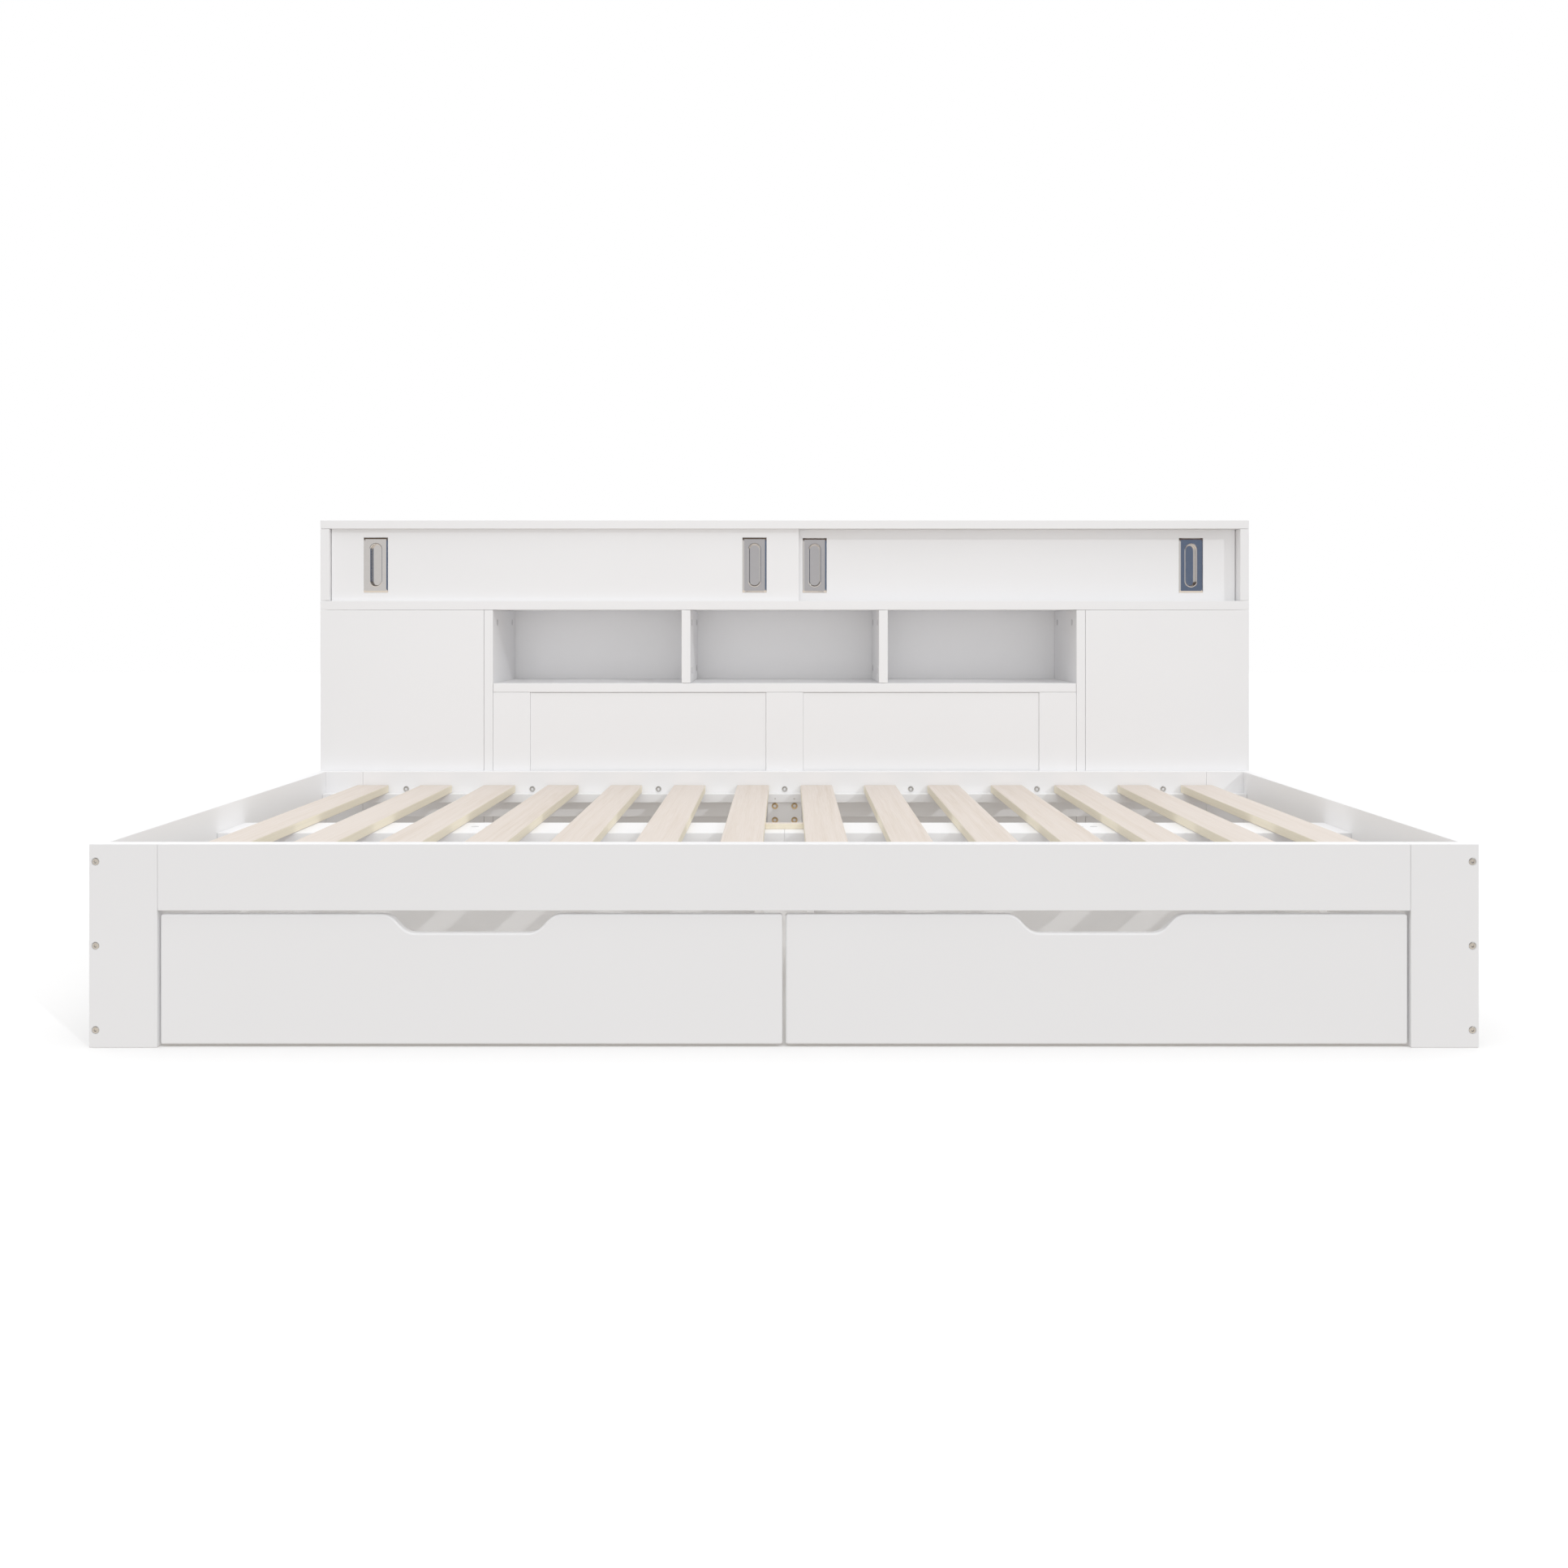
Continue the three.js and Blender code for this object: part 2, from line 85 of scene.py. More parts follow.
# World directions of a local shape's u, v and w axes, named for where w points. All turn by the
# right-hand rule, so that faces stay outwards.
FACING = {
    "up": np.array(((1, 0, 0), (0, 1, 0), (0, 0, 1)), float),
    "down": np.array(((0, 1, 0), (1, 0, 0), (0, 0, -1)), float),
    "front": np.array(((1, 0, 0), (0, 0, 1), (0, -1, 0)), float),
    "back": np.array(((0, 0, 1), (1, 0, 0), (0, 1, 0)), float),
    "right": np.array(((0, 1, 0), (0, 0, 1), (1, 0, 0)), float),
    "left": np.array(((0, 0, 1), (0, 1, 0), (-1, 0, 0)), float),
    "up_along_y": np.array(((0, 1, 0), (-1, 0, 0), (0, 0, 1)), float),
    "front_along_z": np.array(((0, 0, 1), (-1, 0, 0), (0, -1, 0)), float),
}


# ---- surfaces -------------------------------------------------------------------------------
# A shell is (points, [face arrays]): every face array holds faces with the same number of corners.


def box_of(node):
    """Lowest and highest corner of a part as two arrays."""
    low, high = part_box(node)
    return np.array(low), np.array(high)


def rectangle(low, high):
    """Corners of an upright rectangle, anticlockwise from its lowest corner."""
    return np.array(((low[0], low[1]), (high[0], low[1]), (high[0], high[1]), (low[0], high[1])))


def rounded_outline(corners, radius, steps=ARC_STEPS):
    """An anticlockwise outline whose corners are arcs, and its outward normals.

    At a corner where the outline turns by t, the arc is c + s n(a): n is the outward normal swung
    by a from 0 to t, s the radius with the sign of t, and c lies s inside the first tangent point.
    """
    leaving = np.roll(corners, -1, 0) - corners
    leaving = leaving / np.linalg.norm(leaving, axis=1, keepdims=True)
    arriving = np.roll(leaving, 1, 0)
    crossed = arriving[:, 0] * leaving[:, 1] - arriving[:, 1] * leaving[:, 0]
    turn = np.arctan2(crossed, (arriving * leaving).sum(1))
    signed = (np.sign(turn) * radius)[:, None, None]
    first = corners - arriving * (radius * np.tan(np.abs(turn) / 2))[:, None]
    outward = np.stack((arriving[:, 1], -arriving[:, 0]), -1)[:, None]
    angle = (turn[:, None] * np.linspace(0, 1, steps + 1))[..., None]
    swung = np.cos(angle) * outward + np.sin(angle) * arriving[:, None]
    points = first[:, None] - signed * outward + signed * swung
    return points.reshape(-1, 2), swung.reshape(-1, 2)


def ring_faces(rows, columns, start=0):
    """Quads between neighbouring closed rings of points."""
    row, column = np.meshgrid(np.arange(rows - 1), np.arange(columns), indexing="ij")
    here = start + row * columns + column
    beside = start + row * columns + (column + 1) % columns
    return np.stack((here, beside, beside + columns, here + columns), -1).reshape(-1, 4)


def capped(rings):
    """Shell of closed rings, shut at both ends by flat faces."""
    rows, columns = rings.shape[:2]
    ring = np.arange(columns)
    faces = [ring_faces(rows, columns), ring[None, ::-1], ring[None] + (rows - 1) * columns]
    return rings.reshape(-1, 3), faces


def looped(rings):
    """Shell of closed rings whose last ring joins the first, as round a wheel."""
    rows, columns = rings.shape[:2]
    faces = ring_faces(rows + 1, columns) % (rows * columns)
    return rings.reshape(-1, 3), [faces]


def eased_rings(outline, normals, low, high, ease, steps=ARC_STEPS):
    """Rings of a plate from low to high with rounded rims.

    At angle a, from -90 to 90 degrees, the outline is drawn in by ease (1 - cos a) along its
    normals, and lies ease (1 - |sin a|) short of the nearer face.
    """
    quarter = np.linspace(0, np.pi / 2, steps + 1)
    inset = ease * (1 - np.cos(quarter))
    short = ease * (1 - np.sin(quarter))
    insets = np.concatenate((inset[::-1], inset))[:, None, None]
    heights = np.concatenate((low + short[::-1], high - short))
    flat = outline[None] - insets * normals[None]
    up = np.broadcast_to(heights[:, None, None], flat.shape[:2] + (1,))
    return np.concatenate((flat, up), -1)


def between(start, stop, count):
    """Indices met going anticlockwise round a ring from start to stop."""
    return np.arange(start, start + (stop - start) % count + 1) % count


def pocketed(rings, pockets):
    """Plate whose top face is let in by pockets, given as (outline, depth) from low u to high u.

    The top face is two polygons that meet on a line through the pockets, so it needs no hole:
    one runs over the pockets' far halves and one under their near halves.
    """
    rows, columns = rings.shape[:2]
    rim = (rows - 1) * columns
    top = rings[-1, 0, 2]
    points = [rings.reshape(-1, 3)]
    faces = [ring_faces(rows, columns), np.arange(columns)[None, ::-1]]
    opposite = columns // 2
    far = [rim + between(opposite, 0, columns)]
    near = [rim + between(0, opposite, columns)]
    near_tail = []
    start = rows * columns
    for outline, depth in pockets:
        count = len(outline)
        rings_in = np.repeat(outline[None], 2, 0)
        heights = np.broadcast_to(np.array((top, top - depth))[:, None, None], (2, count, 1))
        points.append(np.concatenate((rings_in, heights), -1).reshape(-1, 3))
        faces.append(ring_faces(2, count, start))
        faces.append(start + count + np.arange(count)[None])
        left, right = outline[:, 0].argmin(), outline[:, 0].argmax()
        far.append(start + between(right, left, count)[::-1])
        near_tail.insert(0, start + between(left, right, count)[::-1])
        start += 2 * count
    faces.append(np.concatenate(far)[None])
    faces.append(np.concatenate(near + near_tail)[None])
    return np.concatenate(points), faces


def placed(shell, facing, origin=(0, 0, 0)):
    """The shell with its w axis pointing where facing says, moved to origin."""
    points, faces = shell
    return points @ FACING[facing] + np.array(origin, float), faces


def board(low, high, ease):
    """A sawn board between two corners: a rounded rectangle carried through its thickness."""
    thin = int(np.argmin(high - low))
    order = [(thin + 1) % 3, (thin + 2) % 3, thin]
    low, high = low[order], high[order]
    outline, normals = rounded_outline(rectangle(low[:2], high[:2]), 1.3 * ease)
    rings = eased_rings(outline, normals, low[2], high[2], ease)
    return placed(capped(rings), ("right", "back", "up")[thin])


def slot_outline(width, height, centre, steps):
    """A slot with round ends: two half circles of radius width / 2, standing upright."""
    angle = np.linspace(0, np.pi, steps + 1)
    arc = width / 2 * np.stack((np.cos(angle), np.sin(angle)), -1)
    lift = np.array((0, height / 2 - width / 2))
    return np.concatenate((arc + lift, -arc - lift)) + centre


def circle(diameter, centre, columns=ROUND_STEPS):
    """A circle: the centre plus half the diameter towards each angle."""
    angle = np.arange(columns) * 2 * np.pi / columns
    return diameter / 2 * np.stack((np.cos(angle), np.sin(angle)), -1) + centre


def plate(low, high, ease, facing, pockets=()):
    """A flat board let in by pockets. Low and high are its (u, v, w) corners."""
    outline, normals = rounded_outline(rectangle(low[:2], high[:2]), 1.3 * ease)
    rings = eased_rings(outline, normals, low[2], high[2], ease)
    return placed(pocketed(rings, pockets), facing)


def notched_outline(low, high, radius, notch_width, notch_flat, notch_depth):
    """A rectangle with a finger notch in the middle of its top edge.

    Each slope of the notch is a curve whose height falls by depth (3 t^2 - 2 t^3) while its
    distance from the middle goes from half the width to half the flat, level at both ends.
    """
    steps = 5
    points, normals = rounded_outline(rectangle(low, high), radius, steps)
    t = np.linspace(0, 1, 15)
    lip, flat = notch_width / 2, notch_flat / 2
    middle = (lip + flat) / 2
    across = lip * (1 - t) ** 3 + 3 * middle * t * (1 - t) + flat * t ** 3
    fall = notch_depth * (3 * t ** 2 - 2 * t ** 3)
    run = -3 * lip * (1 - t) ** 2 + 3 * middle * (1 - 2 * t) + 3 * flat * t ** 2
    drop = -6 * notch_depth * t * (1 - t)
    right = np.stack((across, -fall), -1)
    outward = np.stack((drop, -run), -1) / np.hypot(run, drop)[:, None]
    mirror = np.array((-1, 1))
    notch = np.concatenate((right, right[::-1] * mirror))
    notch_normals = np.concatenate((outward, outward[::-1] * mirror))
    top_middle = np.array(((low[0] + high[0]) / 2, high[1]))
    split = 3 * (steps + 1)
    points = np.insert(points, split, notch + top_middle, 0)
    return points, np.insert(normals, split, notch_normals, 0)


def flush_pull_rings(half, slot, thickness, depth):
    """Rings of a flush pull, from the back of its cup, round its plate and down into its slot.

    A point of the slot's ring at offset e is the end of the slot's middle line plus its radius
    plus e towards angle t. A point of a plate ring is at the same share of the rectangle's side
    or end, so that every ring has its corner at the same angle and the bevels are mitred.
    """
    radius = slot[0] / 2
    straight = slot[1] / 2 - radius
    corner = np.arctan2(half[1] - straight, half[0])
    eighth = np.linspace(0, corner, 7)
    quarter = np.concatenate((eighth, np.linspace(corner, np.pi / 2, 7)[1:]))
    angle = np.concatenate((quarter, np.pi - quarter[-2::-1]))
    aim = np.stack((np.cos(angle), np.sin(angle)), -1)
    side = np.abs(aim[:, 0]) * np.sin(corner)
    end = aim[:, 1] * np.cos(corner)
    share_up = np.minimum(end / np.maximum(side, 1e-9), 1)
    share_out = np.minimum(side / np.maximum(end, 1e-9), 1) * np.sign(aim[:, 0])

    def ring(upper, height):
        around = np.concatenate((upper, -upper))
        return np.concatenate((around, np.full((len(around), 1), height)), -1)

    def plate_ring(inset, height):
        width, rise = half[0] - inset, half[1] - inset - straight
        return ring(np.stack((width * share_out, straight + rise * share_up), -1), height)

    def slot_ring(offset, height):
        return ring((radius + offset) * aim + np.array((0, straight)), height)

    back, edge, ease = 0.1 * MM, 0.4 * MM, 0.12 * MM    # the plate's back, and its eased edge
    bevel, field = 3.8 * MM, 0.35 * MM                  # the bevel, and the lip above the field
    lip, sheet, bend = 1.1 * MM, 1.2 * MM, 1.4 * MM     # half the lip, the cup's sheet and bend
    margin = 0.4 * MM                                   # keeps the flat field flat
    face = thickness - field
    floor = -depth + sheet
    rings = [slot_ring(sheet, -depth), slot_ring(sheet, back), plate_ring(0, back)]
    rings += [plate_ring(0, edge), plate_ring(ease, edge + 0.1 * MM)]
    rings += [plate_ring(bevel - ease, face - ease / 4), plate_ring(bevel, face)]
    rings += [plate_ring(bevel + margin, face), slot_ring(2 * lip + 0.3 * MM, face)]
    for a in np.linspace(0, np.pi, 9):
        rings.append(slot_ring(lip + lip * np.cos(a), face + field * np.sin(a)))
    rings.append(slot_ring(0, floor + bend))
    for a in np.linspace(0, np.pi / 2, 6)[1:]:
        rings.append(slot_ring(bend * (np.cos(a) - 1), floor + bend * (1 - np.sin(a))))
    rings.append(slot_ring(-bend - 1.5 * margin, floor))
    return np.array(rings)


def bolt(diameter, rise):
    """A bolt's head with a domed rim and a hexagon socket, turned round w.

    The rim goes up rise in a quarter arc, and the socket is 0.42 of the head across.
    """
    radius = diameter / 2
    socket, bevel = 0.42 * radius, 0.1 * MM
    root, socket_floor = -0.5 * rise, -0.4 * rise
    arc = np.linspace(0, np.pi / 2, 5)
    dome = min(rise, 0.35 * radius)
    profile = [(radius, root, 0)]
    profile += [(radius - dome * (1 - np.cos(a)), rise - dome * (1 - np.sin(a)), 0) for a in arc]
    profile += [(1.15 * socket, rise, 0), (socket, rise - bevel, 1), (socket, socket_floor, 1)]
    return capped(turned(profile, ROUND_STEPS))


def cover_cap(diameter, rise):
    """A cover cap: a disc whose rim curves down over a quarter arc."""
    radius, root = diameter / 2, -0.2 * MM
    arc = np.linspace(0, np.pi / 2, 4)
    profile = [(radius, root, 0)]
    profile += [(radius - rise * (1 - np.cos(a)), rise * np.sin(a), 0) for a in arc]
    profile += [(0.55 * radius, rise, 0)]
    return capped(turned(profile, ROUND_STEPS))


def turned(profile, columns):
    """Rings of a turned part: profile rows (radius, height, hexagon) go round the w axis.

    The radius at angle t is r, and where hexagon is 1 it is r / cos(d), with d the angle from t
    to the middle of the nearest of the six sides.
    """
    radius, height, hexagon = np.array(profile, float).T[:, :, None]
    angle = np.arange(columns) * 2 * np.pi / columns
    nearest = (angle + np.pi / 6) % (np.pi / 3) - np.pi / 6
    reach = radius * (1 + hexagon * (1 / np.cos(nearest) - 1))
    rise = np.broadcast_to(height, reach.shape)
    return np.stack((reach * np.cos(angle), reach * np.sin(angle), rise), -1)


def spun(shell, angle, centre):
    """The shell turned about the X axis through centre."""
    points, faces = shell
    turn = np.array((
        (1, 0, 0),
        (0, np.cos(angle), np.sin(angle)),
        (0, -np.sin(angle), np.cos(angle)),
    ))
    return (points - centre) @ turn + centre, faces


# ---- pieces ---------------------------------------------------------------------------------


def even_normals(mesh):
    """Sets each vertex's normal to the mean of its faces' normals, weighted by their areas, so
    that large faces stay flat and the rounding between them shades smoothly."""
    count = len(mesh.polygons)
    normals = np.zeros(count * 3)
    areas = np.zeros(count)
    corners = np.zeros(count, np.int64)
    vertices = np.zeros(len(mesh.loops), np.int64)
    mesh.polygons.foreach_get("normal", normals)
    mesh.polygons.foreach_get("area", areas)
    mesh.polygons.foreach_get("loop_total", corners)
    mesh.loops.foreach_get("vertex_index", vertices)
    weighted = np.repeat(normals.reshape(-1, 3) * areas[:, None], corners, 0)
    summed = np.zeros((len(mesh.vertices), 3))
    np.add.at(summed, vertices, weighted)
    summed /= np.maximum(np.linalg.norm(summed, axis=1, keepdims=True), 1e-12)
    mesh.polygons.foreach_set("use_smooth", np.ones(count, bool))
    mesh.normals_split_custom_set_from_vertices(summed)


def make_piece(name, shells, finish, body, stands_for=()):
    """One finished piece from its shells, riding on a body and standing for its CAD nodes."""
    starts = np.cumsum([0] + [len(points) for points, _ in shells])
    points = np.concatenate([points for points, _ in shells])
    faces = [
        face
        for (_, arrays), start in zip(shells, starts)
        for array in arrays
        for face in (array + start).tolist()
    ]
    mesh = bpy.data.meshes.new(name)
    mesh.from_pydata(points, [], faces)
    mesh.update()
    even_normals(mesh)
    mesh.materials.append(bpy.data.materials[finish])
    piece = bpy.data.objects.new(name, mesh)
    bpy.context.scene.collection.objects.link(piece)
    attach(piece, body)
    if stands_for:
        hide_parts(*stands_for)


def make_copies(name, shell, facing, spots, finish):
    """One piece on the bed's frame from the same fitting at several spots."""
    make_piece(name, [placed(shell, facing, spot) for spot in spots], finish, BED)


def board_for(node, ease, finish=LACQUER):
    """A board with eased edges in the place of a CAD board of the bed's frame."""
    make_piece(f"{node}_board", [board(*box_of(node), ease)], finish, BED, [node])


# ---- finishes -------------------------------------------------------------------------------


def linear(code):
    """Linear colour of an sRGB hex code."""
    srgb = np.array([int(code[i:i + 2], 16) / 255 for i in (1, 3, 5)])
    return tuple(np.where(srgb <= 0.04045, srgb / 12.92, ((srgb + 0.055) / 1.055) ** 2.4))


def shade(colour, share=1.0):
    """The colour with each channel at that share, opaque."""
    return (*(share * channel for channel in colour), 1)


def add_node(tree, kind, inputs, **settings):
    """Adds a node with its settings; an input is a value or the socket that feeds it."""
    node = tree.nodes.new(kind)
    for key, value in settings.items():
        setattr(node, key, value)
    for key, value in inputs.items():
        if isinstance(value, bpy.types.NodeSocket):
            tree.links.new(value, node.inputs[key])
        else:
            node.inputs[key].default_value = value
    return node


def new_material(name, patterns):
    """Node tree of a new material, and its patterns of random cells by their names.

    A pattern is given as (x, y, z) sizes of its cells in metres, its detail and, where it has
    any, further inputs of its noise. It reads Object coordinates divided by those sizes.
    """
    material = bpy.data.materials.new(name)
    material.use_nodes = True
    tree = material.node_tree
    tree.nodes.clear()
    coords = add_node(tree, "ShaderNodeTexCoord", {}).outputs["Object"]
    sockets = {}
    for pattern, (cell, detail, *more) in patterns.items():
        scale = tuple(1 / size for size in cell)
        place = add_node(tree, "ShaderNodeMapping", {"Vector": coords, "Scale": scale})
        inputs = {"Vector": place.outputs[0], "Scale": 1.0, "Detail": detail}
        for further in more:
            inputs.update(further)
        sockets[pattern] = add_node(tree, "ShaderNodeTexNoise", inputs).outputs["Fac"]
    return tree, sockets


def finish_material(tree, inputs):
    """Ends a material with the surface shader."""
    shader = add_node(tree, "ShaderNodeBsdfPrincipled", inputs)
    add_node(tree, "ShaderNodeOutputMaterial", {"Surface": shader.outputs[0]})


def one_colour_finish(name, colour, patterns, tone, gloss, reliefs, **further):
    """A finish of one colour whose tone, gloss and relief follow patterns.

    tone is (pattern, share of the colour left where it is darkest), gloss is (pattern, where its
    range starts and ends, roughness at its start and end), and a relief is (pattern, strength,
    depth in metres), each on top of the one before it.
    """
    tree, sockets = new_material(name, patterns)
    pattern, share = tone
    tint = add_node(tree, "ShaderNodeMix", {
        0: sockets[pattern], COLOUR_A: shade(colour), COLOUR_B: shade(colour, share),
    }, data_type="RGBA")
    pattern, start, end, low, high = gloss
    roughness = add_node(tree, "ShaderNodeMapRange", {
        "Value": sockets[pattern], "From Min": start, "From Max": end,
        "To Min": low, "To Max": high,
    })
    normal = {}
    for pattern, strength, depth in reliefs:
        bump = add_node(tree, "ShaderNodeBump", {
            "Height": sockets[pattern], "Strength": strength, "Distance": depth, **normal,
        })
        normal = {"Normal": bump.outputs[0]}
    finish_material(tree, {
        "Base Color": tint.outputs[COLOUR_OUT], "Roughness": roughness.outputs[0],
        **normal, **further,
    })


def sprayed_lacquer(name, colour, roughness):
    """Satin polyurethane lacquer sprayed on fine fibreboard.

    It gives the eye an even white with a soft sheen. Close up there is orange peel about 2.5 mm
    across, a slow waviness left by sanding, and a slight cloudiness from spray passes.
    """
    patterns = {
        "cloud": ((320 * MM, 320 * MM, 190 * MM), 2.0),
        "peel": ((2.5 * MM,) * 3, 1.5),
        "wave": ((60 * MM,) * 3, 1.0),
    }
    one_colour_finish(
        name, colour, patterns, tone=("cloud", 0.97),
        gloss=("wave", 0, 1, roughness - 0.05, roughness + 0.05),
        reliefs=(("wave", 0.10, 0.5 * MM), ("peel", 0.14, 0.05 * MM)), IOR=1.49,
    )


def planed_slat_wood(name, colour, grain_colour, edge_colour_with_painted_light):
    """Planed and sanded slats of pale softwood, left unfinished.

    Long fibres run along Y: streaks 1.4 mm wide (finer in the wood, coarser here so that they
    show), growth bands about 9 mm apart, and a slow change of tone from slat to slat. The sawn
    edges, which stand upright, get a yellower and lighter colour than the planed faces: the
    yellow is the sawn wood's own, and the extra lightness is painted light on the slats' sides.
    """
    tree, sockets = new_material(name, {
        "drift": ((30 * MM, 400 * MM, 30 * MM), 1.0),
        "fibre": ((1.4 * MM, 110 * MM, 1.4 * MM), 4.0, {"Roughness": 0.62}),
        "band": ((9 * MM, 700 * MM, 9 * MM), 1.5, {"Distortion": 0.6}),
        "slat": ((160 * MM, 2400 * MM, 400 * MM), 0.0),
    })
    drift, fibre, band, slat = sockets.values()
    grain = add_node(tree, "ShaderNodeMapRange", {
        "Value": fibre, "From Min": 0.38, "From Max": 0.72, "To Max": 0.75,
    })
    bands = add_node(tree, "ShaderNodeMapRange", {
        "Value": band, "From Min": 0.42, "From Max": 0.66, "To Max": 0.45,
    })
    streaks = add_node(tree, "ShaderNodeMath", {0: grain.outputs[0], 1: bands.outputs[0]})
    tones = add_node(tree, "ShaderNodeMath", {0: slat, 1: drift})
    share = add_node(tree, "ShaderNodeMapRange", {
        "Value": tones.outputs[0],
        "From Min": 0.7, "From Max": 1.3, "To Min": 0.55, "To Max": 1.1,
    })
    factor = add_node(tree, "ShaderNodeMath", {
        0: streaks.outputs[0], 1: share.outputs[0],
    }, operation="MULTIPLY", use_clamp=True)
    face, side = (
        add_node(tree, "ShaderNodeMix", {
            0: factor.outputs[0], COLOUR_A: pale, COLOUR_B: dark,
        }, data_type="RGBA")
        for pale, dark in (
            (shade(colour), shade(grain_colour)),
            (shade(edge_colour_with_painted_light), shade(edge_colour_with_painted_light, 0.86)),
        )
    )
    # Upright faces take the edge colour, whose extra lightness is painted light on the slats' sides
    normal = add_node(tree, "ShaderNodeNewGeometry", {}).outputs["Normal"]
    upright = add_node(tree, "ShaderNodeSeparateXYZ", {0: normal}).outputs["Z"]
    tilt = add_node(tree, "ShaderNodeMath", {0: upright}, operation="ABSOLUTE")
    planed = add_node(tree, "ShaderNodeMapRange", {
        "Value": tilt.outputs[0], "From Min": 0.35, "From Max": 0.8,
    })
    wood = add_node(tree, "ShaderNodeMix", {
        0: planed.outputs[0], COLOUR_A: side.outputs[COLOUR_OUT],
        COLOUR_B: face.outputs[COLOUR_OUT],
    }, data_type="RGBA")
    gloss = add_node(tree, "ShaderNodeMapRange", {"Value": fibre, "To Min": 0.58, "To Max": 0.74})
    relief = add_node(tree, "ShaderNodeBump", {
        "Height": fibre, "Strength": 0.35, "Distance": 0.12 * MM,
    })
    finish_material(tree, {
        "Base Color": wood.outputs[COLOUR_OUT],
        "Roughness": gloss.outputs[0],
        "Normal": relief.outputs[0],
        "IOR": 1.5,
    })


def plated_metal(name, colour, roughness, brush):
    """Nickel or zinc plate on pressed steel, polished or left bright.

    The plate mirrors the room a little softly. Polishing lines brush apart run upright, and their
    depth and gloss change along them.
    """
    patterns = {"lines": ((brush, brush, 45 * brush), 2.0), "blots": ((9 * MM,) * 3, 2.0)}
    one_colour_finish(
        name, colour, patterns, tone=("blots", 0.93),
        gloss=("lines", 0.3, 0.7, 0.8 * roughness, 1.25 * roughness),
        reliefs=(("lines", 0.12, 0.02 * MM),), Metallic=1.0,
    )


def moulded_plastic(name, colour, roughness):
    """Injection-moulded nylon or polythene, with the fine spark-eroded texture of its mould,
    0.8 mm across here so that it shows, and faint flow marks."""
    patterns = {
        "texture": ((0.8 * MM,) * 3, 2.0),
        "flow": ((12 * MM, 12 * MM, 5 * MM), 2.0, {"Distortion": 0.8}),
    }
    one_colour_finish(
        name, colour, patterns, tone=("flow", 0.88),
        gloss=("texture", 0, 1, roughness - 0.08, roughness + 0.08),
        reliefs=(("texture", 0.3, 0.05 * MM),), IOR=1.53,
    )


def painted_floor(name, colour):
    """Matt white studio floor paint with a faint roller texture."""
    tree, sockets = new_material(name, {"roller": ((40 * MM,) * 3, 3.0)})
    relief = add_node(tree, "ShaderNodeBump", {
        "Height": sockets["roller"], "Strength": 0.05, "Distance": 0.5 * MM,
    })
    finish_material(tree, {
        "Base Color": shade(colour), "Roughness": 0.8, "Normal": relief.outputs[0],
    })


# ---- settings -------------------------------------------------------------------------------


def length(name, description, default):
    """A length that a user can change, in metres."""
    return FloatProperty(name=name, description=description, default=default, min=0, unit="LENGTH")


def colour(name, description, code):
    """A colour that a user can change, from an sRGB hex code."""
    return FloatVectorProperty(
        name=name, description=description, default=linear(code), size=3,
        min=0, max=1, subtype="COLOR",
    )


class BedEdges(bpy.types.PropertyGroup):
    """How far each kind of board has its edges eased."""

    carcass: length("Carcass", "Eased edge of frame and headboard boards", 0.9 * MM)
    slat: length("Slat", "Eased edge of a slat", 1.6 * MM)
    drawer: length("Drawer front", "Rounding of a drawer front's rim", 3.2 * MM)
    seam: length("Seam", "Headboard boards stop short by this on each side", 0.2 * MM)
    gap: length("Back gap", "Between the cubbies' boards and the back panel", 2.2 * MM)
    door: length("Door", "Eased edge of a sliding door", 0.9 * MM)
    box: length("Drawer box", "Eased edge of the drawer box's boards", 1.2 * MM)


class BedFinishes(bpy.types.PropertyGroup):
    """Colours and gloss of the bed's materials."""

    lacquer: colour("Lacquer", "Sprayed white lacquer", "#F4F4F6")
    lacquer_roughness: FloatProperty(
        name="Lacquer roughness", description="0 is a mirror", default=0.40, min=0.1, max=0.9,
        subtype="FACTOR",
    )
    box: colour("Drawer box", "Lacquer inside the drawers", "#F2F1F0")
    slat: colour("Slat", "Planed face of a slat", "#D7CABF")
    grain: colour("Slat grain", "Darker fibres of a slat", "#C9B8A7")
    # The slat edge colour is lighter than the face colour: partly painted light on the slats' sides
    edge: colour("Slat edge", "Sawn edge of a slat", "#ECE0C4")
    nickel: colour("Nickel", "Plate of the flush pulls", "#D5D2CF")
    zinc: colour("Zinc", "Plate of the bolts and castor forks", "#C4C2BE")
    brass: colour("Brass", "Yellow passivated bolts of the legs", "#B79C74")
    cap: colour("Cap", "Plastic cover caps", "#C6C5C8")
    castor: colour("Castor", "Nylon castor wheels", "#3C3D40")


